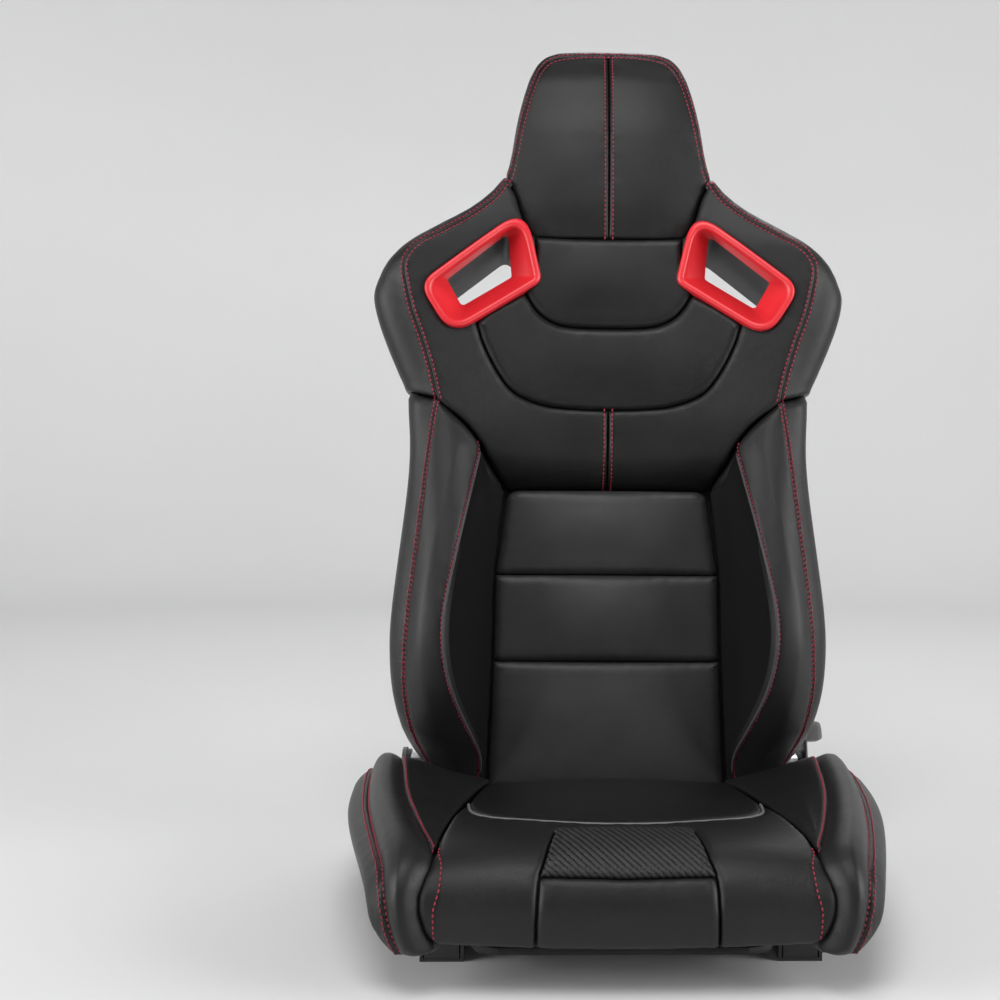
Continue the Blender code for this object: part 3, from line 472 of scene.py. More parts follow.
@dataclass
class Panel:
    """Sewn panel with any outline, laid on a drawn surface.

    Attributes:
        name: piece name.
        loops: outline and then holes, on the surface's own two directions.
        place: world points from those two directions and a height.
        stuffing: how it swells.
        step: grid spacing.
        hollow: wall of a moulded tray, whose holes keep flat edges, or 0 for a stuffed panel.
        relief: extra height at world points, such as ribs.
    """
    name: str
    loops: list[np.ndarray]
    place: Place
    stuffing: Stuffing = FIRM
    step: float = 0.0065
    hollow: float = 0.0
    relief: Callable[[np.ndarray], np.ndarray] | None = None

    def __post_init__(self) -> None:
        """Draw the loops in by the gap that a seam leaves."""
        turn = [1] + [-1] * (len(self.loops) - 1)
        self.loops = [loop + SEAM_GAP * sign * inward(loop) for loop, sign in zip(self.loops, turn)]

    def build(self) -> bpy.types.Object:
        """Fill the outline with a fine sheet and close it behind.

        Returns:
            The panel as a closed mesh object.
        """
        seeds = list(self.loops)
        for k, loop in enumerate(self.loops):
            normal = inward(loop) * (1 if k == 0 else -1)
            for t in RINGS:
                ring = loop + normal * t
                gap, _ = edge_distance(ring, self.loops)
                seeds.append(ring[(gap > 0.92 * t) & inside(ring, self.loops)])
        seeds.append(dots(self.loops, self.step, RINGS[-1] + 0.4 * self.step))
        flat, faces = fill(self.loops, np.vstack(seeds))
        t, along = edge_distance(flat, self.loops)
        swell = self.stuffing.crown * ease(0, self.stuffing.swell, t)
        if self.stuffing.crown > CLOTH_CROWN and not self.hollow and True:
            swell = self.stuffing.crown * Inflation(self.loops).share(flat)
        if self.hollow:
            t, along = edge_distance(flat, self.loops[:1])
        rise = relaxed(swell, faces, t) + self.stuffing.edge(t, along)
        under = rise - self.hollow if self.hollow else np.full(len(flat), -self.stuffing.thick)
        front = self.place(flat[:, 0], flat[:, 1], rise)
        if self.relief:
            front = self.place(flat[:, 0], flat[:, 1], rise + self.relief(front) * ease(0, RINGS[2], t))
        rear = self.place(flat[:, 0], flat[:, 1], under)
        count = len(flat)
        uses = dict.fromkeys(edge for a, b, c in faces for edge in ((a, b), (b, c), (c, a)))
        walls = [(b, a, a + count, b + count) for a, b in uses if (b, a) not in uses]
        sheets = [tuple(f) for f in faces] + [tuple(f[::-1] + count) for f in faces] + walls
        return mesh_object(self.name, np.vstack([front, rear]), sheets)

    def row(self, seam: np.ndarray, toward: tuple[float, float], offset: float | np.ndarray,
            lift: float = THREAD_LIFT) -> np.ndarray:
        """World places of a stitch row beside a seam.

        Args:
            seam: seam line on the surface's two directions.
            toward: a place on the panel's side of the seam.
            offset: distance of the row from the seam, for all points or for each.
            lift: height of the row over the leather.
        Returns:
            Points just over the leather.
        """
        normal = left(unit(np.gradient(seam, axis=0)))
        flip = np.where(((np.array(toward) - seam) * normal).sum(1) < 0, -1.0, 1.0)
        gap = np.broadcast_to(offset, len(seam))
        at = seam + normal * np.median(flip) * gap[:, None]
        return self.place(at[:, 0], at[:, 1], self.stuffing.height(gap) + lift)


@dataclass
class Strip:
    """Sewn panel lofted across rails, such as a bolster wall or a side band.

    Attributes:
        name: piece name.
        rails: two or more lines of equal count, in the world.
        stuffing: how it swells.
        out: rough direction that the outside faces.
        bulge: extra rise of the middle of the strip.
        ends: whether the first and the last short end roll into a seam.
        across: mesh lines between the edges.
    """
    name: str
    rails: list[np.ndarray]
    stuffing: Stuffing
    out: tuple[float, float, float]
    bulge: float = 0.0
    ends: tuple[bool, bool] = (True, True)
    across: int = 12

    def __post_init__(self) -> None:
        """Loft the drawn surface and swell it."""
        lines, places, widths = [], [], []
        for section in np.stack(self.rails, axis=1):
            line = bowed(section, 10)
            run = runs(line)
            near = np.array((0.0,) + RINGS) * min(1.0, run[-1] * 0.3 / RINGS[-1])
            middle = np.linspace(near[-1], run[-1] - near[-1], self.across + 2)[1:-1]
            places.append(np.concatenate([near, middle, run[-1] - near[::-1]]))
            lines.append(read(line, run, places[-1]))
            widths.append(run[-1])
        grid, at, wide = np.stack(lines), np.stack(places), np.array(widths)[:, None]
        t, share = np.minimum(at, wide - at), at / wide
        run = np.concatenate([np.zeros((1, grid.shape[1])),
                              np.cumsum(np.linalg.norm(np.diff(grid, axis=0), axis=2), axis=0)])
        for rolls, gap in zip(self.ends, (run, run[-1] - run)):
            t = np.minimum(t, gap) if rolls else t
        self.normal = self.normals(grid)
        bulge = self.bulge * np.minimum(1.0, wide / FULL_BULGE)
        rise = self.stuffing.height(t, run) + bulge * 4 * share * (1 - share)
        self.front = grid + self.normal * rise[..., None]
        self.rear = grid - self.normal * self.stuffing.thick

    def normals(self, grid: np.ndarray) -> np.ndarray:
        """Outward unit normals of a grid of points."""
        normal = unit(np.cross(np.gradient(grid, axis=0), np.gradient(grid, axis=1)))
        return normal * (1 if (normal @ np.array(self.out)).mean() > 0 else -1)

    def build(self) -> bpy.types.Object:
        """Close the strip behind.

        Returns:
            The strip as a closed mesh object.
        """
        m, n = self.front.shape[:2]
        index = np.arange(m * n).reshape(m, n)
        count = m * n
        corners = (index[:-1, :-1], index[1:, :-1], index[1:, 1:], index[:-1, 1:])
        quads = np.stack(corners, axis=-1).reshape(-1, 4)
        ring = np.concatenate([index[0, :], index[1:, -1], index[-1, -2::-1], index[-2:0:-1, 0]])
        after = np.roll(ring, -1)
        walls = np.stack([ring, after, after + count, ring + count], axis=1)
        faces = np.vstack([quads, quads[:, ::-1] + count, walls])
        return mesh_object(self.name, np.vstack([self.front.reshape(-1, 3), self.rear.reshape(-1, 3)]), faces)

    def row(self, last: bool, offset: float) -> np.ndarray:
        """World places of a stitch row beside one long edge."""
        grid, normal = (self.front[:, ::-1], self.normal[:, ::-1]) if last else (self.front, self.normal)
        points = []
        for line, out in zip(grid, normal):
            run = runs(line)
            beside = min(len(out) - 1, int(np.searchsorted(run, offset)))
            points.append(read(line, run, offset) + THREAD_LIFT * out[beside])
        return np.array(points)


def filling(name: str, rings: np.ndarray, capped: bool = True, smooth: float = 40) -> bpy.types.Object:
    """Closed solid through rings of points.

    Args:
        name: object name.
        rings: rings of equal count, in the world.
        capped: whether the first and the last ring are closed, or else joined to each other.
        smooth: edges sharper than this many degrees stay sharp.
    Returns:
        The solid.
    """
    m, n = rings.shape[:2]
    index = np.arange(m * n).reshape(m, n)
    beside = np.roll(index, -1, axis=1)
    quads = np.stack([index, beside, np.roll(beside, -1, axis=0), np.roll(index, -1, axis=0)], axis=-1)
    faces = [tuple(q) for q in quads[:m - capped].reshape(-1, 4)]
    if capped:
        faces += [tuple(index[0][::-1]), tuple(index[-1])]
    return mesh_object(name, rings.reshape(-1, 3), faces, smooth)


def shrunk(rings: np.ndarray, depth: float) -> np.ndarray:
    """Rings drawn in to their middles by a depth, or by less where they are small."""
    away = rings - rings.mean(axis=1, keepdims=True)
    return rings - unit(away) * np.minimum(depth, 0.4 * np.linalg.norm(away, axis=2, keepdims=True))


def tube(name: str, route: np.ndarray, radius: float, sides: int = 10) -> bpy.types.Object:
    """Round cord with narrowed ends along a route, such as piping."""
    angle = np.linspace(0, 2 * pi, sides, endpoint=False)[:, None]
    tangent = unit(np.gradient(route, axis=0))
    rings, side = [], np.cross(tangent[0], (0.31, 0.52, 0.79))
    for k, (spot, along) in enumerate(zip(route, tangent)):
        side = unit(side - along * (side @ along))
        reach = radius * (0.55 if k in (0, len(route) - 1) else 1.0)
        rings.append(spot + reach * (np.cos(angle) * side + np.sin(angle) * np.cross(along, side)))
    return filling(name, np.array(rings))


# Finishes

class Nodes:
    """Small helper that places and joins nodes in a tree."""

    def __init__(self, tree: bpy.types.NodeTree) -> None:
        """Start on a tree."""
        self.tree = tree

    def join(self, node: bpy.types.Node, inputs: dict) -> None:
        """Give a node's inputs, by name or index, their values or links."""
        for key, value in inputs.items():
            if isinstance(value, bpy.types.NodeSocket):
                self.tree.links.new(value, node.inputs[key])
            else:
                node.inputs[key].default_value = value

    def add(self, kind: str, inputs: dict | None = None, **settings) -> bpy.types.Node:
        """New node.

        Args:
            kind: node type.
            inputs: socket name or index to a value or to an output socket.
            settings: node properties.
        Returns:
            The node.
        """
        node = self.tree.nodes.new(kind)
        for key, value in settings.items():
            setattr(node, key, value)
        self.join(node, inputs or {})
        return node

    def noise(self, place: bpy.types.NodeSocket, scale: float | bpy.types.NodeSocket, detail: float,
              roughness: float = 0.5) -> bpy.types.Node:
        """New noise texture."""
        return self.add("ShaderNodeTexNoise", {"Vector": place, "Scale": scale, "Detail": detail,
                                               "Roughness": roughness})


def shader_group(name: str, scale: float) -> tuple[Nodes, bpy.types.Node, bpy.types.Node]:
    """Empty shader group from a place and a scale to a patchiness and a height."""
    tree = bpy.data.node_groups.new(name, "ShaderNodeTree")
    tree.interface.new_socket("Vector", in_out="INPUT", socket_type="NodeSocketVector")
    tree.interface.new_socket("Scale", in_out="INPUT", socket_type="NodeSocketFloat").default_value = scale
    for label in ("Patch", "Height"):
        tree.interface.new_socket(label, in_out="OUTPUT", socket_type="NodeSocketFloat")
    nodes = Nodes(tree)
    return nodes, nodes.add("NodeGroupInput"), nodes.add("NodeGroupOutput")


def grain_group() -> bpy.types.NodeTree:
    """Pebbled leather grain with soft creases."""
    nodes, given, out = shader_group("leather_grain", 900.0)
    place = given.outputs["Vector"]
    warp = nodes.add("ShaderNodeVectorMath", {0: nodes.noise(place, 160.0, 2.0).outputs["Color"],
                                              1: (0.0012, 0.0012, 0.0012)}, operation="MULTIPLY")
    moved = nodes.add("ShaderNodeVectorMath", {0: place, 1: warp.outputs[0]}, operation="ADD")
    cells = nodes.add("ShaderNodeTexVoronoi", {"Vector": moved.outputs[0], "Scale": given.outputs["Scale"]},
                      feature="DISTANCE_TO_EDGE")
    height = nodes.add("ShaderNodeMapRange", {"Value": cells.outputs["Distance"], "From Max": 0.22},
                       interpolation_type="SMOOTHSTEP")
    for scale, detail, share in ((2400.0, 3.0, 0.35), (26.0, 2.0, 7.0)):
        height = nodes.add("ShaderNodeMath", {0: nodes.noise(place, scale, detail).outputs["Fac"], 1: share,
                                              2: height.outputs[0]}, operation="MULTIPLY_ADD")
    nodes.join(out, {"Patch": nodes.noise(place, 22.0, 5.0, 0.62).outputs["Fac"],
                     "Height": height.outputs[0]})
    return nodes.tree


def mottle_group() -> bpy.types.NodeTree:
    """Uneven patches and fine speckle for moulded plastic and paint."""
    nodes, given, out = shader_group("surface_mottle", 1400.0)
    place = given.outputs["Vector"]
    nodes.join(out, {"Patch": nodes.noise(place, 14.0, 4.0).outputs["Fac"],
                     "Height": nodes.noise(place, given.outputs["Scale"], 2.0).outputs["Fac"]})
    return nodes.tree


class Surface(Enum):
    """Kinds of surface that a finish can have."""
    LEATHER = "leather"
    RIBBED = "ribbed leather"
    THREAD = "thread"
    MOULDED = "moulded plastic"
    METAL = "metal"


@dataclass(frozen=True)
class Finish:
    """Finish of a piece.

    Attributes:
        name: material name.
        surface: kind of surface.
        dark: colour at the low end of the mix: random patches, and on ribbed leather the painted shade in the
            rib grooves.
        light: colour at the high end of the mix: random patches, and on ribbed leather the rib tops.
        rough: least and greatest roughness.
        bump: height of the grain in metres.
        metallic: metallic value.
        scale: cells or speckles of the grain per metre.
        slot: material slot in the part's record; not used.
        gloss: specular level.
    """
    name: str
    surface: Surface
    dark: tuple[float, float, float]
    light: tuple[float, float, float]
    rough: tuple[float, float]
    bump: float
    metallic: float = 0.0
    scale: float = 900.0
    slot: str = "leatherette"
    gloss: float = 0.32


LEATHER = Finish("black_leatherette", Surface.LEATHER, (0.006, 0.006, 0.0063), (0.012, 0.012, 0.0126),
                 (0.33, 0.44), 0.00006)
INSERT = Finish("smooth_leatherette", Surface.LEATHER, (0.006, 0.006, 0.0063), (0.011, 0.011, 0.0116),
                (0.29, 0.39), 0.00005, scale=1100.0)
# Painted light: the lumbar channels are the same black leather, given a lighter colour to stand in for the
# highlight that falls on them from above.
LUMBAR_PAINTED_LIGHT = Finish("lumbar_leatherette_painted_light", Surface.LEATHER, (0.022, 0.022, 0.0228), (0.038, 0.038, 0.039),
                (0.32, 0.42), 0.00005, scale=1100.0)
# Painted shade: the inner bolster walls are the same black leather, given a darker colour and a lower gloss
# to stand in for the shade in that recess.
WALL_PAINTED_SHADE = Finish("wall_leatherette_painted_shade", Surface.LEATHER, (0.003, 0.003, 0.003), (0.006, 0.006, 0.0063),
              (0.62, 0.76), 0.00012, gloss=0.12)
# Ribbed leather: its colour runs with the rib wave, with painted shade in the grooves that is darker than the
# rest of the leather, and lighter rib tops.
RIBBED = Finish("ribbed_leatherette_painted_groove_shade", Surface.RIBBED, (0.003, 0.003, 0.0032), (0.024, 0.024, 0.025),
                (0.36, 0.50), 0.00006)
PIPING = Finish("grey_piping", Surface.LEATHER, (0.12, 0.12, 0.12), (0.18, 0.18, 0.18), (0.40, 0.55), 0.0001)
DARK_PIPING = Finish("dark_piping", Surface.LEATHER, (0.030, 0.028, 0.030), (0.060, 0.055, 0.058),
                     (0.36, 0.5), 0.0001)
THREAD = Finish("crimson_thread", Surface.THREAD, (0.20, 0.008, 0.028), (0.36, 0.014, 0.046), (0.45, 0.65),
                0.0002)
RED = Finish("red_trim", Surface.MOULDED, (0.58, 0.014, 0.022), (0.72, 0.028, 0.036), (0.30, 0.42), 0.00005,
             slot="red_trim", scale=1800.0)
SHELL = Finish("black_shell", Surface.MOULDED, (0.016, 0.016, 0.017), (0.030, 0.030, 0.031), (0.42, 0.60),
               0.00018, slot="black_plastic", scale=1300.0)
GRIP = Finish("black_grip", Surface.MOULDED, (0.014, 0.014, 0.014), (0.028, 0.028, 0.028), (0.50, 0.66),
              0.00022, slot="black_plastic", scale=900.0)
GREY = Finish("grey_cover", Surface.MOULDED, (0.085, 0.085, 0.088), (0.13, 0.13, 0.135), (0.42, 0.58),
              0.00014, slot="grey_cover", scale=1500.0)
STEEL = Finish("satin_black_steel", Surface.METAL, (0.018, 0.018, 0.019), (0.036, 0.036, 0.038), (0.36, 0.52),
               0.00008, 0.0, 700.0, "black_steel")
ZINC = Finish("zinc_steel", Surface.METAL, (0.46, 0.46, 0.48), (0.66, 0.66, 0.67), (0.24, 0.40), 0.00004, 1.0,
              900.0, "bare_steel")


class Palette:
    """Materials made from finishes, each once."""

    def __init__(self) -> None:
        """Build the shared groups."""
        self.grain = grain_group()
        self.mottle = mottle_group()
        self.made: dict[str, bpy.types.Material] = {}

    def material(self, finish: Finish) -> bpy.types.Material:
        """Material of a finish, made on first use."""
        if finish.name not in self.made:
            self.made[finish.name] = self.make(finish)
        return self.made[finish.name]

    def make(self, finish: Finish) -> bpy.types.Material:
        """Build the node tree of a finish.

        Args:
            finish: what the surface is like.
        Returns:
            The new material.
        """
        material = bpy.data.materials.new(finish.name)
        material.use_nodes = True
        nodes = Nodes(material.node_tree)
        shader = material.node_tree.nodes["Principled BSDF"]
        shader.inputs["Metallic"].default_value = finish.metallic
        place = nodes.add("ShaderNodeTexCoord").outputs["Object"]
        sewn = finish.surface in (Surface.LEATHER, Surface.RIBBED)
        if sewn:
            shader.inputs["Specular IOR Level"].default_value = finish.gloss
        grain = nodes.add("ShaderNodeGroup", {}, node_tree=self.grain if sewn else self.mottle)
        nodes.join(grain, {"Vector": place, "Scale": finish.scale})
        patches_and_groove_shade, height = grain.outputs["Patch"], grain.outputs["Height"]
        # Ribbed leather: colour and roughness follow the rib wave, so the grooves get painted shade and the
        # rib tops a lighter colour.
        if finish.surface is Surface.RIBBED:
            slant = nodes.add("ShaderNodeVectorMath", {0: place, 1: RIB_SLANT}, operation="MULTIPLY")
            bands = nodes.add("ShaderNodeTexWave", {"Vector": slant.outputs[0], "Scale": RIB_SCALE},
                              bands_direction="DIAGONAL", wave_profile="SIN")
            groove_shade = nodes.add("ShaderNodeMapRange", {"Value": bands.outputs["Fac"], "From Max": RIB_LAND},
                             interpolation_type="SMOOTHSTEP")
            patches_and_groove_shade = groove_shade.outputs["Result"]
        if finish.surface is Surface.THREAD:
            twist = nodes.add("ShaderNodeTexWave", {"Vector": place, "Scale": 420.0, "Distortion": 2.0},
                              bands_direction="DIAGONAL")
            height = twist.outputs["Fac"]
        colour = nodes.add("ShaderNodeMix", {"Factor": patches_and_groove_shade, "A": (*finish.dark, 1.0),
                                             "B": (*finish.light, 1.0)}, data_type="RGBA")
        low, high = finish.rough
        rough = nodes.add("ShaderNodeMapRange", {"Value": patches_and_groove_shade, "To Min": low, "To Max": high})
        bump = nodes.add("ShaderNodeBump", {"Height": height, "Distance": finish.bump, "Strength": 1.0})
        nodes.join(shader, {"Base Color": colour.outputs["Result"], "Roughness": rough.outputs["Result"],
                            "Normal": bump.outputs["Normal"]})
        return material

    def dress(self, piece: bpy.types.Object, finish: Finish) -> None:
        """Give a piece one finish all over."""
        piece.data.materials.clear()
        piece.data.materials.append(self.material(finish))


# Stitching

class Stitching:
    """Rows of thread, laid by Geometry Nodes along lines, one piece for each body."""

    sizes = {"Pitch": 0.0052, "Half Length": 0.0019, "Radius": 0.00085}

    def __init__(self, palette: Palette) -> None:
        """Start with no rows."""
        self.palette = palette
        self.rows: dict[Body, list[np.ndarray]] = {}

    def add(self, body: Body, *rows: np.ndarray) -> None:
        """Keep rows for a body."""
        self.rows.setdefault(body, []).extend(rows)

    def tree(self) -> bpy.types.NodeTree:
        """Geometry Nodes tree that lays a thread capsule at even steps along lines."""
        tree = bpy.data.node_groups.new("thread_rows", "GeometryNodeTree")
        tree.interface.new_socket("Geometry", in_out="INPUT", socket_type="NodeSocketGeometry")
        for label, value in self.sizes.items():
            socket = tree.interface.new_socket(label, in_out="INPUT", socket_type="NodeSocketFloat")
            socket.default_value = value
        tree.interface.new_socket("Thread", in_out="INPUT", socket_type="NodeSocketMaterial")
        tree.interface.new_socket("Geometry", in_out="OUTPUT", socket_type="NodeSocketGeometry")
        nodes = Nodes(tree)
        given, out = nodes.add("NodeGroupInput"), nodes.add("NodeGroupOutput")
        curve = nodes.add("GeometryNodeMeshToCurve", {"Mesh": given.outputs["Geometry"]})
        steps = nodes.add("GeometryNodeResampleCurve", {"Curve": curve.outputs["Curve"],
                                                        "Length": given.outputs["Pitch"]}, mode="LENGTH")
        ball = nodes.add("GeometryNodeMeshUVSphere", {"Segments": 6, "Rings": 5, "Radius": 1.0})
        size = nodes.add("ShaderNodeCombineXYZ", {"X": given.outputs["Radius"], "Y": given.outputs["Radius"],
                                                  "Z": given.outputs["Half Length"]})
        thread = nodes.add("GeometryNodeTransform", {"Geometry": ball.outputs["Mesh"],
                                                     "Scale": size.outputs["Vector"]})
        way = nodes.add("GeometryNodeInputTangent")
        turn = nodes.add("FunctionNodeAlignRotationToVector", {"Vector": way.outputs["Tangent"]}, axis="Z")
        laid = nodes.add("GeometryNodeInstanceOnPoints", {"Points": steps.outputs["Curve"],
                                                          "Instance": thread.outputs["Geometry"],
                                                          "Rotation": turn.outputs["Rotation"]})
        real = nodes.add("GeometryNodeRealizeInstances", {"Geometry": laid.outputs["Instances"]})
        smooth = nodes.add("GeometryNodeSetShadeSmooth", {"Geometry": real.outputs["Geometry"]})
        done = nodes.add("GeometryNodeSetMaterial", {"Geometry": smooth.outputs["Geometry"],
                                                     "Material": given.outputs["Thread"]})
        tree.links.new(done.outputs["Geometry"], out.inputs["Geometry"])
        return tree

    def build(self) -> list[tuple[bpy.types.Object, Body]]:
        """Lay every row.

        Returns:
            Each body's thread as a plain mesh object, with its body.
        """
        tree = self.tree()
        names = {item.name: item.identifier for item in tree.interface.items_tree if item.in_out == "INPUT"}
        settings = {**self.sizes, "Thread": self.palette.material(THREAD)}
        made = []
        for body, rows in self.rows.items():
            guide = bpy.data.meshes.new("thread_guide")
            points, edges = [], []
            for row in rows:
                edges += [(len(points) + k, len(points) + k + 1) for k in range(len(row) - 1)]
                points += [tuple(map(float, p)) for p in row]
            guide.from_pydata(points, edges, [])
            source = linked("thread_guide", guide)
            step = source.modifiers.new("thread", "NODES")
            step.node_group = tree
            for label, value in settings.items():
                step[names[label]] = value
            bpy.context.view_layer.update()
            evaluated = source.evaluated_get(bpy.context.evaluated_depsgraph_get())
            mesh = bpy.data.meshes.new_from_object(evaluated)
            bpy.data.objects.remove(source)
            mesh.name = f"thread_{body.value}"
            made.append((linked(mesh.name, mesh), body))
        return made


class Dresser:
    """Finishes pieces and hands them to the frame."""

    def __init__(self, palette: Palette) -> None:
        """Start with the materials."""
        self.palette = palette

    def pad(self, piece: bpy.types.Object, body: Body, finish: Finish, fill: float, *nodes: str) -> None:
        """Hand over a stuffed piece that stands for CAD nodes.

        Args:
            piece: mesh object at the origin.
            body: body that it rides on.
            finish: its finish.
            fill: how tight it is stuffed; not used.
            nodes: CAD nodes that it stands for.
        """
        self.trim(piece, body, finish, *nodes)

    def trim(self, piece: bpy.types.Object, body: Body, finish: Finish, *nodes: str) -> None:
        """Hand over a hard or thin piece, with the CAD nodes that it stands for."""
        self.palette.dress(piece, finish)
        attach(piece, body.value)
        if nodes:
            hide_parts(*nodes)
        LOG.info("%s: %d faces on %s", piece.name, len(piece.data.polygons), body.value)


# Backrest

@dataclass
class Backrest:
    """Padded backrest, from its lumbar channels to its headrest.

    Every line is drawn on the viewer's right as (x, s), and rails as (x, d, s).
    """
    dresser: Dresser
    stitching: Stitching
    row_gap: float = 0.0045
    step: float = 0.0042
    head_top: Line = mm((117, 682), (110, 706), (100.5, 757), (90.5, 795), (83, 815), (73, 831), (58, 838.5),
                        (30, 842), (0, 842.5))
    wing_edge: Line = mm((191.5, 425.5), (200, 461), (210, 493), (221, 524), (227.5, 552), (230.5, 573),
                         (226, 588), (213, 602), (189, 617), (160, 637), (132, 661), (117, 682))
    wing_outer: Line = mm((225, 434), (234, 457), (246, 486), (256.5, 515), (262, 540), (259.5, 557),
                          (248, 582), (226, 604), (191, 627.5), (158, 649), (134, 671), (118.5, 691))
    head_outer: Line = mm((118.5, 691), (112, 715), (104.5, 760), (95, 799), (87.5, 820), (77.5, 836),
                          (61, 845), (30, 848.5), (0, 849))
    head_wing: Line = mm((117, 682), (106.5, 663), (99.5, 640), (91, 623), (84, 616.5))
    bib_side: Line = mm((84, 616.5), (83, 595), (88, 570), (95.5, 551))
    bib_foot: Line = mm((95.5, 551), (80, 529), (58, 516), (30, 512.5), (0, 512))
    chest_hidden: Line = mm((95.5, 551), (122, 536), (150, 516))
    chest_side: Line = mm((150, 516), (140.5, 487), (123, 454.5), (105, 435), (74, 423), (36, 419), (0, 418))
    waist_seam: Line = mm((115, 329), (126, 347), (138, 367), (143, 378), (161, 400), (184.5, 418.5),
                          (191.5, 425.5))
    inner_rail: Line = mm((133.5, 46, -10), (132, 46, 30), (130.9, 46, 62), (129.5, 46, 100),
                          (128.1, 46, 145), (127.5, 46, 183), (127, 46, 225), (121.2, 46, 280),
                          (117.8, 46, 308), (115.7, 47, 328))
    ridge_rail: Line = mm((142, 55, 0), (141, 75, 30), (152, 106, 60), (170, 138, 102), (178.5, 152, 145),
                          (179, 155, 183), (172, 147, 225), (160, 130, 285), (151, 108, 330), (142, 84, 377))
    seam_rail: Line = mm((186, 52, 0), (203.5, 75, 33), (215.5, 98, 62), (222.5, 116, 100), (222, 126, 145),
                         (219.5, 129, 183), (214, 127, 235), (207.5, 121, 295), (200, 113, 365),
                         (191.5, 104, 425))
    outer_rail: Line = mm((190, 30, 4), (214.5, 55, 38), (227.5, 78, 66), (236.5, 92, 102), (239.5, 98, 145),
                          (238.5, 100, 183), (233, 98, 235), (226, 93, 295), (219.5, 89, 365),
                          (224.5, 84, 434))
    back_rail: Line = mm((188, 20, 6), (209, 27, 41), (223, 20, 70), (232, 14.5, 104), (235.5, 13.5, 145),
                         (234.5, 13.5, 183), (229, 13.5, 235), (222, 13.5, 295), (215.5, 13.5, 365),
                         (220.5, 13.5, 434))
    face_depths: Line = mm((326, 34), (345, 55), (372, 68), (420, 73), (620, 74))
    head_depths: Line = mm((600, 73), (660, 79), (735, 78), (800, 65), (850, 44))
    wing_rim: Line = ((0, 0.084), (0.35, 0.091), (0.55, 0.090), (0.75, 0.078), (1, 0.060))
    head_rim: Line = ((0, 0.052), (0.4, 0.048), (0.7, 0.036), (1, 0.032))
    rim_tuck: float = 0.004
    foam_foot: Line = mm((0, -40), (165, -40), (186, 30), (205, 90))
    foam_top: float = 0.838
    foam_depth: float = 0.0255
    foam_step: float = 0.006
    foam_inset: float = 0.009
    bolster_inset: float = 0.008
    bolster_rear: float = 0.0145
    ridge_gap: float = 0.0050
    piping_radius: float = 0.0017
    piping_sink: float = 0.0006
    lumbar_steps: tuple[float, ...] = (-0.050, 0.135, 0.233, 0.329)
    lumbar_halves: tuple[float, ...] = (0.1345, 0.1278, 0.1264, 0.1150)
    lumbar_round: float = 0.015
    neck: tuple[float, float] = (0.0, 0.616)
    waist: tuple[float, float] = (0.0, 0.331)
    band_points: int = 96

    # Drawn surfaces

    def face(self, x: np.ndarray, s: np.ndarray) -> np.ndarray:
        """Depth of the neck, chest and wings."""
        middle = through(self.face_depths, s)
        cant = 0.044 * ease(0.0375, 0.268, np.abs(x)) * ease(0.30, 0.41, s) * (1 - 0.75 * ease(0.60, 0.69, s))
        return middle + cant

    def head(self, x: np.ndarray, s: np.ndarray) -> np.ndarray:
        """Depth of the headrest, which thins to its top and its cheeks."""
        return through(self.head_depths, s) - 0.012 * (np.asarray(x) / 0.112) ** 2

    def lumbar(self, x: np.ndarray, s: np.ndarray) -> np.ndarray:
        """Depth of the lumbar insert."""
        return 0.047 + 0.006 * (1 - (np.asarray(x) / 0.130) ** 2)

    @staticmethod
    def over(depth: Depth) -> Place:
        """World placing over a drawn depth."""
        return lambda x, s, h: on_back(np.asarray(x), depth(x, s) + h, np.asarray(s))

    def line(self, knots: Line, smooth: bool = True) -> np.ndarray:
        """Even points along a drawn line."""
        return spaced(knots, self.step, smooth)

    def straight(self, *ends: tuple[float, float]) -> np.ndarray:
        """Even points along a straight line."""
        return self.line(ends, False)

    def pad(self, piece: bpy.types.Object, finish: Finish, fill: float, *nodes: str) -> None:
        """Hand over a stuffed piece of the backrest."""
        self.dresser.pad(piece, Body.BACK, finish, fill, *nodes)

    # Pieces

    def build(self) -> None:
        """Make every padded piece of the backrest."""
        for side in Side:
            self.headrest(side)
            self.wing(side)
            self.bolster(side)
            self.bands(side)
        self.middle()
        self.channels()
        self.backing()

    def headrest(self, side: Side) -> None:
        """Half of the headrest, with thread along its centre seam and its contour."""
        centre = self.straight(self.head_top[-1], self.neck)
        loop = joined(self.straight(self.neck, self.bib_side[0]), self.line(self.head_wing)[::-1],
                      self.line(self.head_top), centre)
        panel = Panel(f"headrest_{side.tag}", [mirrored(loop, side)], self.over(self.head), HEAD)
        self.pad(panel.build(), LEATHER, 0.8, "headrest_pad")
        for seam in (centre, self.line(self.head_top)):
            row = panel.row(mirrored(seam, side), (side.value * 0.05, 0.74), self.row_gap)
            self.stitching.add(Body.BACK, row)

    def wing(self, side: Side) -> None:
        """Shoulder wing and upper back in one panel, open for the harness bezel."""
        centre = self.straight(self.chest_side[-1], self.waist)
        edges = (self.waist_seam, self.wing_edge, self.head_wing, self.bib_side, self.chest_hidden,
                 self.chest_side)
        loop = joined(self.straight(self.waist, self.waist_seam[0]), *map(self.line, edges), centre)
        hole = Bezel.loop(Bezel.corners, Bezel.radii, Bezel.leather_tuck)
        panel = Panel(f"shoulder_wing_{side.tag}_cover", [mirrored(loop, side), mirrored(hole, side)],
                      self.over(self.face), FIRM)
        self.pad(panel.build(), LEATHER, 0.7, f"shoulder_wing_{side.tag}", f"upper_back_{side.tag}")
        for seam, at in ((self.line(self.wing_edge), (0.15, 0.47)), (centre, (0.05, 0.37))):
            row = panel.row(mirrored(seam, side), (side.value * at[0], at[1]), self.row_gap)
            self.stitching.add(Body.BACK, row)

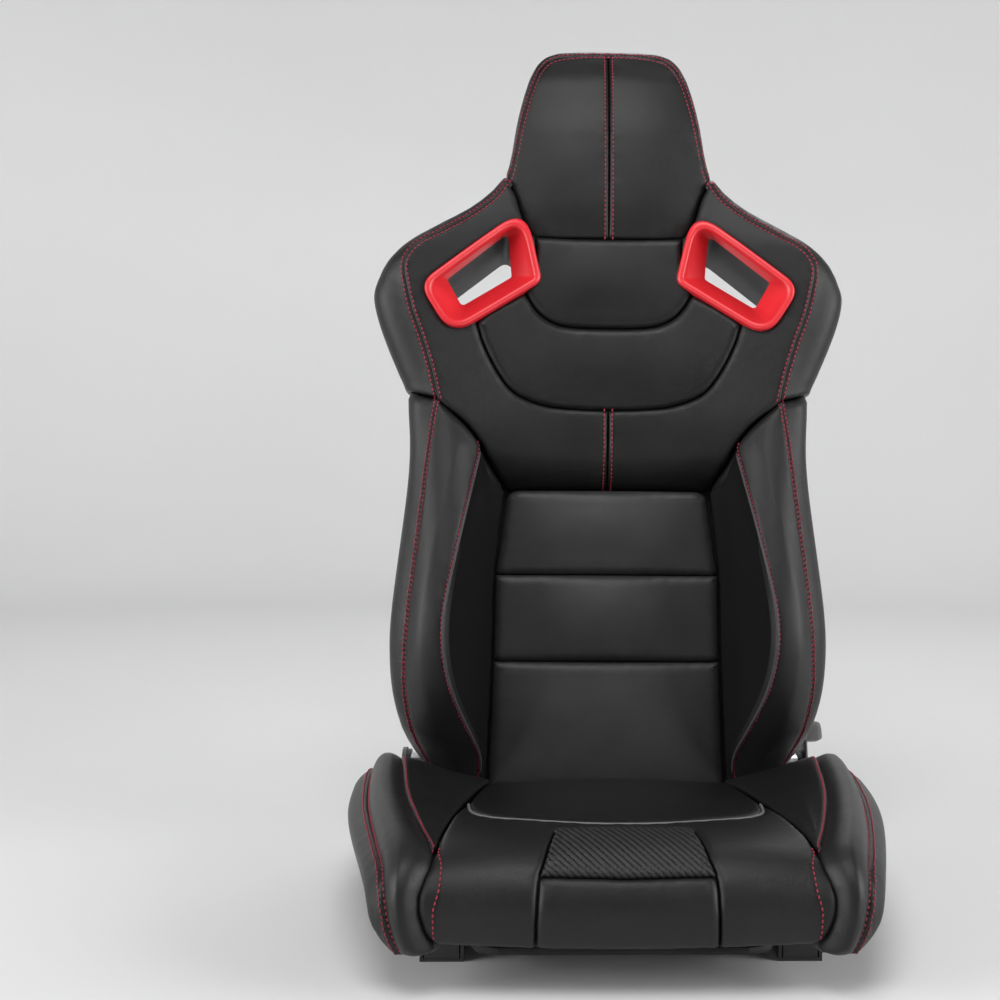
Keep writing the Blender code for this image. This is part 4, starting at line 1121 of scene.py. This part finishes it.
    def middle(self) -> None:
        """Neck bib and chest panel."""
        foot = self.line(self.bib_foot)
        bib = whole(self.straight(self.neck, self.bib_side[0]), self.line(self.bib_side), foot)
        chest = whole(foot[::-1], self.line(self.chest_hidden), self.line(self.chest_side))
        for name, loop, node in (("neck_bib", bib, "neck_pad"), ("chest_panel", chest, "chest_pad")):
            self.pad(Panel(name, [loop], self.over(self.face), FULL).build(), INSERT, 0.7, node)

    def channels(self) -> None:
        """Three stuffed lumbar channels, the last with rounded top corners."""
        for k, (low, high) in enumerate(zip(self.lumbar_steps, self.lumbar_steps[1:])):
            wide, wide_top = self.lumbar_halves[k:k + 2]
            trim = self.lumbar_round if k == 2 else 0.0
            start, end = (wide_top, high - trim), (wide_top - trim, high)
            bend = rounded(np.array(start), np.array((wide_top, high)), np.array(end), 9)
            side = np.vstack([self.straight((wide, low), start), bend[1:] if trim else bend[:0]])
            loop = joined(self.straight((-wide, low), (wide, low)), side, self.straight(end, (-end[0], high)),
                          mirrored(side, Side.LEFT)[::-1])
            panel = Panel(f"lumbar_channel_{k + 1}", [loop], self.over(self.lumbar), CHANNEL)
            # Lumbar channels with painted light: their lighter colour stands in for their highlight.
            self.pad(panel.build(), LUMBAR_PAINTED_LIGHT, 0.85, "lumbar_pad")

    def outline(self, first: int, step: float, inset: float) -> np.ndarray:
        """Right edge of the back from a station of its rail to the top, drawn in."""
        rail = [(x, s) for x, _, s in self.back_rail[first:]]
        edge = spaced(rail + list(self.wing_outer[1:]) + list(self.head_outer[1:]), step)
        return edge + inset * inward(edge)

    def backing(self) -> None:
        """Foam sheet on the frame that closes the back behind the panels."""
        low = spaced(self.foam_foot, self.foam_step, False)
        edge = self.outline(4, self.foam_step, self.foam_inset)[2:-1]
        half = np.vstack([low, edge, [[0.0, self.foam_top]]])
        loop = joined(half, mirrored(half[1:-1], Side.LEFT)[::-1])
        hole = Bezel.loop(Bezel.corners, Bezel.radii, Bezel.foam_tuck)
        panel = Panel("back_foam", [loop, hole, mirrored(hole, Side.LEFT)],
                      self.over(lambda x, s: self.foam_depth), PLAIN, 2 * self.foam_step)
        self.pad(panel.build(), LEATHER, 1.0, "lumbar_pad")

    def rail(self, knots: Line, side: Side, per_span: int = 10) -> np.ndarray:
        """World points along a rail, as many between any two stations."""
        return back_line(mirrored(faired(bowed(knots, per_span), per_span, 2 * per_span), side))

    def bolster(self, side: Side) -> None:
        """Side bolster: inner wall with painted shade, face, piped ridge and the foam behind them."""
        node = f"back_bolster_{side.tag}"
        inner, ridge, seam = (self.rail(k, side) for k in (self.inner_rail, self.ridge_rail, self.seam_rail))
        wall = Strip(f"bolster_wall_{side.tag}", [inner, ridge], FIRM, (-side.value, -0.4, 0.0), -0.006)
        # Inner wall with painted shade: its darker colour stands in for the shade between the bolster and the
        # lumbar.
        self.pad(wall.build(), WALL_PAINTED_SHADE, 0.8, node)
        face = Strip(f"bolster_face_{side.tag}", [ridge, seam], FIRM, (0.2 * side.value, -1.0, 0.2), 0.007)
        self.pad(face.build(), LEATHER, 0.8, node)
        self.stitching.add(Body.BACK, face.row(False, self.ridge_gap), face.row(True, self.row_gap))
        route = ridge[4:-2] + np.array([0.0, self.piping_sink, 0.0])
        cord = tube(f"ridge_piping_{side.tag}", route, self.piping_radius)
        self.dresser.trim(cord, Body.BACK, DARK_PIPING)
        rear = [(x, self.bolster_rear, s) for x, _, s in self.inner_rail]
        rails = (self.inner_rail, self.ridge_rail, self.seam_rail, self.outer_rail, self.back_rail, rear)
        rings = np.stack([self.rail(k, side, 4) for k in rails], axis=1)
        foam = filling(f"bolster_foam_{side.tag}", shrunk(rings, self.bolster_inset))
        self.pad(foam, LEATHER, 1.0, node)

    def turned(self, edge: Line, rim: Line, depth: Depth, rim_depths: Line, side: Side) -> list[np.ndarray]:
        """World rails of a band that turns from a seam over a rim to the frame.

        Args:
            edge: seam line.
            rim: outer line, where the band turns.
            depth: surface that the seam lies on.
            rim_depths: depth of the rim along its run from 0 to 1.
            side: hand of the band.
        Returns:
            The seam, the rim and the line on the frame.
        """
        seam, outer = (even(bowed(line), self.band_points) for line in (edge, rim))
        tucked = outer + self.rim_tuck * unit(seam - outer)
        rails = (at_depth(seam, depth(seam[:, 0], seam[:, 1])),
                 at_depth(outer, through(rim_depths, np.linspace(0, 1, self.band_points))),
                 at_depth(tucked, PAD_BACK))
        return [back_line(mirrored(rail, side)) for rail in rails]

    def bands(self, side: Side) -> None:
        """Side bands that turn from the contour seam to the rear shell."""
        low = [self.rail(k, side) for k in (self.seam_rail, self.outer_rail, self.back_rail)]
        high = self.turned(self.wing_edge, self.wing_outer, self.face, self.wing_rim, side)
        crown = self.turned(self.head_top, self.head_outer, self.head, self.head_rim, side)
        for name, rails, up, closed, node in (("side", low, 0.2, True, f"back_bolster_{side.tag}"),
                                              ("shoulder", high, 0.6, True, f"shoulder_wing_{side.tag}"),
                                              ("head", crown, 1.0, False, "headrest_pad")):
            strip = Strip(f"{name}_band_{side.tag}", rails, TIGHT, (side.value, -0.3, up),
                          ends=(True, closed))
            self.pad(strip.build(), LEATHER, 0.7, node)
            self.stitching.add(Body.BACK, strip.row(False, self.row_gap))


class Bezel:
    """Red bezel that flares from the shoulder wing to the harness opening, and the black sleeve behind it."""

    corners: Line = mm((95.5, 650), (75.8, 564), (176.5, 495.5), (212.5, 552))
    radii: tuple[float, ...] = (0.024, 0.013, 0.027, 0.023)
    mouth: Line = mm((115, 623), (110.7, 572), (166.3, 534.5), (183, 564))
    mouth_radii: tuple[float, ...] = (0.005, 0.004, 0.005, 0.004)
    mouth_depth: float = 0.022
    slot: Line = mm((118.8, 613.7), (91.2, 578.6), (171, 516.2), (198.6, 551.4))
    slot_radii: tuple[float, ...] = (0.011,) * 4
    slot_depth: float = -0.0370
    leather_tuck: float = 0.004      # how far the wing's leather runs in under the bezel
    foam_tuck: float = 0.003         # how far the foam does
    lip: float = 0.0022              # wall of the mouth
    sleeve_wall: float = 0.0009
    back_edge: tuple[float, float] = (0.0035, -0.006)
    section: Line = mm((0, -6), (0, 3.8), (0.7, 5.8), (2.2, 7), (4.6, 7.1), (6.8, 6.2), (8.2, 3.6))

    def __init__(self, dresser: Dresser, back: Backrest) -> None:
        """Keep the backrest that carries it."""
        self.dresser = dresser
        self.back = back

    @staticmethod
    def loop(corners: Line, radii: Sequence[float], inset: float = 0.0, steps: int = 9,
             along: int = 10) -> np.ndarray:
        """Four-sided outline with rounded corners, drawn in by an inset.

        Args:
            corners: outer corners in order.
            radii: corner radii.
            inset: distance that the outline is drawn in.
            steps: points round each corner.
            along: points along each side.
        Returns:
            Points of the loop, as many for any inset.
        """
        p = np.array(corners, float)
        before, after = np.roll(p, 1, axis=0), np.roll(p, -1, axis=0)
        u, w = unit(before - p), unit(after - p)
        half = np.arccos((u * w).sum(1)) / 2
        p = p + unit(u + w) * (inset / np.sin(half))[:, None]
        reach = np.maximum(0.0025, np.array(radii) - 0.8 * inset) / np.tan(half)
        points = []
        for k in range(4):
            a, b = p[k] + u[k] * reach[k], p[k] + w[k] * reach[k]
            points.append(rounded(a, p[k], b, steps))
            n = (k + 1) % 4
            points.append(np.linspace(b, p[n] + u[n] * reach[n], along + 2)[1:-1])
        return np.vstack(points)

    def ring(self, loop: np.ndarray, rise: float) -> np.ndarray:
        """(x, d, s) rows of a loop at a height over the wing."""
        return at_depth(loop, self.back.face(loop[:, 0], loop[:, 1]) + rise)

    def build(self) -> None:
        """Make both bezels with their sleeves."""
        mouth, wider = (self.loop(self.mouth, self.mouth_radii, inset) for inset in (0.0, -self.lip))
        slot, slot_wide = (self.loop(self.slot, self.slot_radii, inset) for inset in (0.0, -self.sleeve_wall))
        rings = [self.ring(self.loop(self.corners, self.radii, inset), rise) for inset, rise in self.section]
        deep = self.ring(mouth, -self.mouth_depth)
        rings += [rings[-1] * (1 - share) + deep * share for share in (0.25, 0.5, 0.75, 1.0)]
        inset, rise = self.back_edge
        rings += [self.ring(wider, -self.mouth_depth),
                  self.ring(self.loop(self.corners, self.radii, inset), rise)]
        behind = -self.mouth_depth - SEAM_GAP
        sleeve = [self.ring(mouth, behind), at_depth(slot, self.slot_depth),
                  at_depth(slot_wide, self.slot_depth), self.ring(wider, behind)]
        for side in Side:
            for name, loops, finish in (("bezel", rings, RED), ("harness_sleeve", sleeve, SHELL)):
                solid = back_line(mirrored(np.array(loops), side))
                piece = filling(f"{name}_{side.tag}", solid, False, 50)
                self.dresser.trim(piece, Body.BACK, finish, f"harness_bezel_{side.tag}")


# Cushion

@dataclass
class Cushion:
    """Seat cushion: rear insert, wrapped front with its ribbed strip, and side bolsters.

    Rails are drawn on the viewer's right as (x, y, z), before the seat was moved onto its origin.
    """
    dresser: Dresser
    stitching: Stitching
    row_gap: float = 0.0045
    step: float = 0.0045
    profile: Line = mm((140, 90), (60, 98), (-20, 107), (-100, 116.5), (-170, 124), (-215, 126.5),
                       (-245, 123), (-266, 113), (-279, 98), (-285, 80), (-284, 62), (-277, 44))
    foot_rail: Line = mm((128, 140, 88), (135, 90, 94), (143, 30, 100), (150, -30, 106), (156, -100, 114),
                         (160, -170, 121.5), (163, -220, 123.5), (164.5, -242, 121.5))
    ridge_rail: Line = mm((226, 140, 114), (222, 90, 127), (216, 45, 131), (209, -30, 131.5),
                          (201.5, -90, 131), (190, -150, 130), (178, -205, 128), (166.5, -243, 123.5),
                          (170, -266, 114), (176, -279, 99), (178, -284, 80), (172, -282.5, 56),
                          (165, -276, 37))
    seam_rail: Line = mm((251.5, 140, 100), (254.5, 90, 114), (253.5, 45, 117), (248.5, -30, 117),
                         (242, -90, 116.5), (232.5, -150, 116.5), (223, -205, 115), (215, -243, 110.5),
                         (211.5, -264, 101), (210, -274, 88), (207, -277, 69), (202, -275, 50),
                         (195, -270, 34.5))
    outer_rail: Line = mm((260, 138, 82), (266.5, 90, 95), (268, 45, 98), (265, -30, 98.5), (257, -90, 98),
                          (246, -150, 97), (234.5, -205, 94), (226.5, -240, 88), (222.5, -256, 78),
                          (219.5, -262, 66), (214, -264, 55), (208, -263, 45), (200, -259, 35))
    base_rail: Line = mm((246, 136, 47.8), (250, 90, 47.8), (251, 45, 47.8), (248, -30, 47.8),
                         (233, -90, 47.8), (223, -150, 47.8), (214, -205, 47.8), (207, -238, 47),
                         (206, -249, 45.5), (207, -254, 44), (205, -256, 42.5), (202, -257, 41),
                         (198, -257, 40))
    insert_edge: Line = mm((0, -188), (18, -187), (45, -180), (80, -163), (112, -141), (130, -118),
                           (141, -85), (146, -30))
    insert_side: Line = mm((128, 140), (135, 90), (142.5, 30), (146, -30))
    strip_seam: Line = mm((61, -205), (65.5, -235), (71, -262))
    strip_front: Line = mm((75.5, 104), (77.5, 76))
    strip_end: float = 0.0785
    front_gaps: Line = ((0, 0.0025), (0.25, 0.0120), (0.45, 0.0160), (0.75, 0.0110), (1, 0.0045))
    wall_gap: float = 0.0036
    top_gap: float = 0.0100
    front_lift: float = 0.0010
    piping_radius: float = 0.0015
    piping_sink: float = 0.0012
    foam_half: float = 0.155
    foam_sink: float = 0.009
    foam_rear: float = 0.13
    bolster_inset: float = 0.007

    def __post_init__(self) -> None:
        """Measure the centre profile."""
        self.curve = even(bowed(self.profile, 24), 400)
        self.run = runs(self.curve)
        self.normal = -left(unit(np.gradient(self.curve, axis=0)))

    def at_y(self, y: float) -> float:
        """Run along the profile at a place on its top."""
        k = int(self.curve[:, 0].argmin())
        return float(np.interp(-y, -self.curve[:k, 0], self.run[:k]))

    def at_z(self, z: float) -> float:
        """Run along the profile at a level on its front."""
        k = int(self.curve[:, 1].argmax())
        return float(np.interp(-z, -self.curve[k:, 1], self.run[k:]))

    def place(self, x: np.ndarray, v: np.ndarray, h: np.ndarray) -> np.ndarray:
        """World points of the centre sheet.

        Args:
            x: places across.
            v: runs along the profile from the rear.
            h: heights over the sheet.
        Returns:
            Places in the world.
        """
        x, v = np.asarray(x, float), np.asarray(v, float)
        crown = 0.007 * (1 - np.clip(np.abs(x) / 0.165, 0, 1) ** 2) * ease(0, 0.06, v)
        spot = read(self.curve, self.run, v) + read(self.normal, self.run, v) * (h + crown - 0.004)[:, None]
        return seat_line(np.stack([x, spot[:, 0], spot[:, 1]], axis=1))

    def build(self) -> None:
        """Make every piece of the cushion."""
        self.centre()
        for side in Side:
            self.bolster(side)

    def sheet_line(self, knots: Line) -> np.ndarray:
        """Even (x, run) points of a line drawn by its places on the top."""
        return spaced([(x, self.at_y(y)) for x, y in knots], self.step)

    def straight(self, start: Sequence[float], end: Sequence[float]) -> np.ndarray:
        """Even (x, run) points along a straight line."""
        return spaced((tuple(start), tuple(end)), self.step, False)

    def panel(self, name: str, loop: np.ndarray, finish: Finish, *settings, **more) -> Panel:
        """Make a panel of the centre sheet, with the settings that a Panel takes, and hand it over."""
        panel = Panel(name, [loop], self.place, *settings, **more)
        self.dresser.pad(panel.build(), Body.SEAT, finish, 0.8, "cushion_centre")
        return panel

    def centre(self) -> None:
        """Rear insert with its piping, wrapped front cover, ribbed strip and the plain panel under it."""
        bottom, level = self.run[-1], self.at_z(self.strip_front[0][1])
        edge, upper = self.sheet_line(self.insert_edge), self.sheet_line(self.insert_side)
        rear = self.straight((0.0, 0.0), (upper[0][0], 0.0))
        self.panel("rear_insert", whole(rear, upper, edge[::-1]), INSERT, FULL)
        walls = self.sheet_line([self.insert_side[-1]] + [(x, y) for x, y, _ in self.foot_rail if y < -0.05])
        front = [(x, self.at_z(z)) for x, _, z in self.ridge_rail[8:-1]] + [(self.ridge_rail[-1][0], bottom)]
        front = spaced([tuple(walls[-1])] + front, self.step)
        seam = [(x, self.at_y(y)) for x, y in self.strip_seam]
        seam += [(x, self.at_z(z)) for x, z in self.strip_front]
        seam = spaced(seam + [(self.strip_end, bottom)], self.step)
        top, under = self.straight((0.0, seam[0][1]), seam[0]), self.straight(front[-1], seam[-1])
        loop = whole(edge, walls, front, under, seam[::-1], top[::-1])
        cover = self.panel("front_cover", loop, LEATHER, FIRM)
        gap = through(self.front_gaps, np.linspace(0, 1, len(front)))
        for side in Side:
            inside = (side.value * 0.1, self.at_z(0.09))
            row = cover.row(mirrored(front, side), inside, gap, self.front_lift)
            self.stitching.add(Body.SEAT, row[:-2])
        above, below = seam[seam[:, 1] <= level], seam[seam[:, 1] > level]
        across = self.straight((0.0, level), above[-1])
        strip = whole(top, above, across[::-1])
        strip = spaced(np.vstack([strip, strip[:1]]), RIB_STEP, False)[:-1]
        # Ribbed strip: real ribs, with painted shade in their grooves from its finish.
        self.panel("ribbed_strip", strip, RIBBED, TIGHT, RIB_STEP, relief=ribs)
        plain = whole(across, below, self.straight(below[-1], (0.0, bottom)))
        self.panel("front_panel", plain, LEATHER, FIRM)
        route = np.vstack([mirrored(edge, Side.LEFT)[::-1], edge[1:]])
        route = self.place(route[:, 0], route[:, 1], np.full(len(route), -self.piping_sink))
        self.dresser.trim(tube("insert_piping", route, self.piping_radius), Body.SEAT, PIPING)
        rings, rear = [], self.foam_rear + DATUM_Y
        for x in np.linspace(-self.foam_half, self.foam_half, 9):
            line = self.place(np.full(60, x), np.linspace(0, bottom, 60), np.full(60, -self.foam_sink))
            rings.append(np.vstack([line, [[x, line[-1][1] + 0.012, PAN_TOP], [x, rear, PAN_TOP]]]))
        self.dresser.pad(filling("cushion_foam", np.array(rings)), Body.SEAT, LEATHER, 1.0, "cushion_centre")

    def rail(self, knots: Line, side: Side, per_span: int = 9) -> np.ndarray:
        """World points along a rail, as many between any two stations."""
        return seat_line(mirrored(faired(bowed(knots, per_span), per_span), side))

    def bolster(self, side: Side) -> None:
        """Side bolster: inner wall, top band, outer band and the foam inside."""
        knots = (self.ridge_rail, self.seam_rail, self.outer_rail, self.base_rail)
        ridge, seam, outer, base = (self.rail(k, side) for k in knots)
        foot, top = self.rail(self.foot_rail, side), self.rail(self.ridge_rail[:8], side)
        wall = Strip(f"thigh_wall_{side.tag}", [foot, top], FIRM, (-side.value, 0.0, 0.6), -0.002)
        band = Strip(f"thigh_top_{side.tag}", [ridge, seam], DEEP, (0.3 * side.value, -0.4, 1.0), 0.010)
        cheek = Strip(f"thigh_side_{side.tag}", [seam, outer, base], TIGHT, (side.value, -0.2, 0.2))
        self.stitching.add(Body.SEAT, wall.row(True, self.wall_gap), band.row(True, self.top_gap),
                           cheek.row(False, self.row_gap))
        rails = [self.rail(k, side, 4) for k in knots]
        inner = rails[0] - np.array([side.value * 0.03, 0.0, 0.0])
        inner[:, 1] = np.maximum(inner[:, 1], DATUM_Y - 0.245)
        sunk, low = inner.copy(), inner * np.array([1.0, 1.0, 0.5]) + np.array([0.0, 0.0, 0.030])
        sunk[:, 2] = PAN_TOP
        rings = shrunk(np.stack(rails + [sunk, low], axis=1), self.bolster_inset)
        for piece, fill in ((wall.build(), 0.8), (band.build(), 0.8), (cheek.build(), 0.7),
                            (filling(f"thigh_foam_{side.tag}", rings), 1.0)):
            self.dresser.pad(piece, Body.SEAT, LEATHER, fill, f"cushion_bolster_{side.tag}")


# Hard pieces

class HardParts:
    """CAD pieces whose shape is right, the moulded rear shell and the shield on the lever's side."""

    tray = Stuffing(crown=0.004, swell=0.120, roll=0.026, sink=0.0465, pucker=0.0)
    tray_depth: float = -0.0340
    tray_wall: float = 0.003
    tray_foot: Line = mm((0, 64), (190, 64), (212, 74), (222, 92))
    tray_top: float = 0.841
    tray_step: float = 0.005
    tray_inset: float = 0.007
    hole_radii: tuple[float, ...] = (0.012,) * 4
    hole_room: float = 0.0012
    disc_radius: float = 0.036
    tab: Line = mm((-26, 40), (-20, 58), (-10, 66), (6, 67), (16, 60), (26, 44))
    ear_foot: Line = mm((23, 46), (0, 42.5), (-23, 46))
    finishes = {"rail": STEEL, "crossmember": STEEL, "seat_pan": STEEL, "bracket": STEEL, "towel": STEEL,
                "plate": STEEL, "back_arm": GREY, "disc": ZINC, "shaft": ZINC, "nut": ZINC, "cover": GREY,
                "recline_lever": STEEL, "grip": GRIP, "back_frame": STEEL, "crossbar": STEEL, "trim": RED,
                "shell": SHELL}

    def __init__(self, dresser: Dresser, back: Backrest) -> None:
        """Keep the backrest whose outline the shell follows."""
        self.dresser = dresser
        self.back = back

    def shell(self) -> None:
        """Rounded tray behind the backrest, open for the harness."""
        edge = self.back.outline(3, self.tray_step, self.tray_inset)[1:-1]
        foot = spaced(self.tray_foot, self.tray_step)
        above = edge[edge[:, 1] > foot[-1][1] + self.tray_step]
        half = np.vstack([foot, above, [[0.0, self.tray_top]]])
        loop = joined(half, mirrored(half[1:-1], Side.LEFT)[::-1])
        hole = Bezel.loop(Bezel.slot, self.hole_radii, -self.hole_room)
        tray = Panel("rear_shell", [loop, hole, mirrored(hole, Side.LEFT)],
                     lambda x, s, h: on_back(np.asarray(x), self.tray_depth - h, np.asarray(s)), self.tray,
                     0.009, self.tray_wall)
        self.dresser.trim(tray.build(), Body.BACK, SHELL, "back_shell")

    def plate(self, name: str, layers: Iterable[tuple[float, np.ndarray]]) -> None:
        """Grey plate on the lever's side, through (d, s) outlines at places across."""
        rings = [back_line(np.stack([np.full(len(ring), x), *ring.T], axis=1)) for x, ring in layers]
        self.dresser.trim(filling(name, np.array(rings)), Body.SEAT, GREY, "hinge_cover_r")

    def shield(self) -> None:
        """Grey shield that stands up from the hinge cover on the lever's side."""
        turn = np.linspace(radians(62), radians(298), 40)
        disc = self.disc_radius * np.stack([np.sin(turn), np.cos(turn)], axis=1)
        loop = np.vstack([disc, self.tab])
        self.plate("hinge_shield_r", [(x, loop + inset * inward(loop)) for x, inset in (
            (0.2286, 0.0008), (0.2290, 0.0), (0.2305, 0.0), (0.2312, 0.0010))])
        ear = np.vstack([self.tab[1:-1], self.ear_foot])
        middle = ear.mean(0)
        self.plate("hinge_ear_r", [(x, middle + (ear - middle) * grow) for x, grow in (
            (0.2300, 1.0), (0.2440, 0.97), (0.2480, 0.88), (0.2500, 0.70))])

    def build(self) -> None:
        """Make the shell and the shield, and give every CAD node that stays in view its finish."""
        self.shell()
        self.shield()
        for name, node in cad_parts.items():
            for key, finish in self.finishes.items():
                if key in name and not node.hide_render:
                    self.dresser.palette.dress(node, finish)
                    LOG.info("%s: %s", name, finish.name)
                    break


# Studio

@dataclass(frozen=True)
class Studio:
    """Floor, soft light and the camera at the photograph's angle."""
    focal: float = 1607.0
    yaw: float = radians(1.87)
    pitch: float = radians(3.95)
    roll: float = radians(0.53)
    eye: tuple[float, float, float] = (-0.0791, -1.6549, 0.5181)
    centre_u: float = 590.0
    centre_v: float = 500.0
    image: float = 1000.0
    floor_y: float = -2.8
    floor_reach: float = 5.0
    floor_turns: int = 96
    floor_tones: tuple[float, float] = (0.66, 0.70)
    wall_top: float = 5.0

    def build(self) -> None:
        """Make the camera, the floor and the lamps."""
        self.camera()
        self.floor()
        self.lamps()
        bpy.context.scene.view_settings.view_transform = "Standard"

    def camera(self) -> None:
        """Camera with the photograph's place, lens and framing."""
        data = bpy.data.cameras.new("camera")
        data.sensor_width = 36.0
        data.lens = self.focal / self.image * data.sensor_width
        data.shift_x = (self.image / 2 - self.centre_u) / self.image
        data.shift_y = (self.centre_v - self.image / 2) / self.image
        ahead = Vector((sin(self.yaw) * cos(self.pitch), cos(self.yaw) * cos(self.pitch), -sin(self.pitch)))
        right = Vector((cos(self.yaw), -sin(self.yaw), 0.0))
        up = right.cross(ahead)
        across = right * cos(self.roll) + up * sin(self.roll)
        above = up * cos(self.roll) - right * sin(self.roll)
        turn = Matrix((across, above, -ahead)).transposed().to_4x4()
        camera = linked("camera", data)
        camera.matrix_world = Matrix.Translation(self.eye) @ turn
        bpy.context.scene.camera = camera

    def floor(self) -> None:
        """Pale floor that sweeps up all round into a wall, nearest behind the seat."""
        bend = [(self.floor_reach + sin(a), 1.0 - cos(a)) for a in np.linspace(0, pi / 2, 13)]
        profile = [(0.02, 0.0), (self.floor_reach / 2, 0.0)] + bend
        profile.append((self.floor_reach + 1.0, self.wall_top))
        turns = self.floor_turns
        points = [(reach * cos(a), self.floor_y + reach * sin(a), z) for reach, z in profile
                  for a in np.linspace(0, 2 * pi, turns, endpoint=False)]
        faces = [tuple(range(turns))]
        for low in range(0, turns * (len(profile) - 1), turns):
            for k in range(turns):
                after = (k + 1) % turns
                faces.append((low + k, low + after, low + turns + after, low + turns + k))
        mesh = bpy.data.meshes.new("floor")
        mesh.from_pydata(points, [], faces)
        mesh.shade_smooth()
        floor = linked("floor", mesh)
        material = bpy.data.materials.new("pale_floor")
        material.use_nodes = True
        nodes = Nodes(material.node_tree)
        shader = material.node_tree.nodes["Principled BSDF"]
        cloud = nodes.noise(nodes.add("ShaderNodeTexCoord").outputs["Object"], 1.5, 2.0)
        low, high = self.floor_tones
        tone = nodes.add("ShaderNodeMapRange", {"Value": cloud.outputs["Fac"], "To Min": low, "To Max": high})
        nodes.join(shader, {"Base Color": tone.outputs["Result"], "Roughness": 0.7})
        mesh.materials.append(material)

    def lamps(self) -> None:
        """Soft overhead key, two side softboxes and an even sky."""
        for name, place, aim, size, power in (
                ("key", (-0.2, -1.3, 2.6), (0.0, 0.1, 0.4), 1.6, 41.0),
                ("side_left", (-3.36, -1.34, 1.15), (0.0, 0.1, 0.3), 2.5, 112.0),
                ("side_right", (3.36, -1.26, 1.20), (0.0, 0.1, 0.3), 2.5, 112.0),
                ("rear", (0.4, 1.9, 2.4), (0.0, 0.1, 0.6), 1.4, 18.0)):
            data = bpy.data.lights.new(name, "AREA")
            data.shape = "DISK"
            data.size = size
            data.energy = power
            lamp = linked(name, data)
            lamp.visible_camera = False
            way = Vector(aim) - Vector(place)
            lamp.matrix_world = Matrix.Translation(place) @ way.to_track_quat("-Z", "Y").to_matrix().to_4x4()
        world = bpy.data.worlds.new("studio")
        world.use_nodes = True
        sky = world.node_tree.nodes["Background"]
        sky.inputs["Color"].default_value = (0.80, 0.82, 0.85, 1.0)
        sky.inputs["Strength"].default_value = 0.10
        bpy.context.scene.world = world


def main() -> None:
    """Build the seat's looks."""
    logging.basicConfig(level=logging.INFO, format="%(name)s %(message)s")
    palette = Palette()
    dresser, stitching = Dresser(palette), Stitching(palette)
    back = Backrest(dresser, stitching)
    back.build()
    Bezel(dresser, back).build()
    Cushion(dresser, stitching).build()
    HardParts(dresser, back).build()
    for thread, body in stitching.build():
        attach(thread, body.value)
        LOG.info("%s: %d faces", thread.name, len(thread.data.polygons))
    Studio().build()


if __name__ == "__main__":
    main()
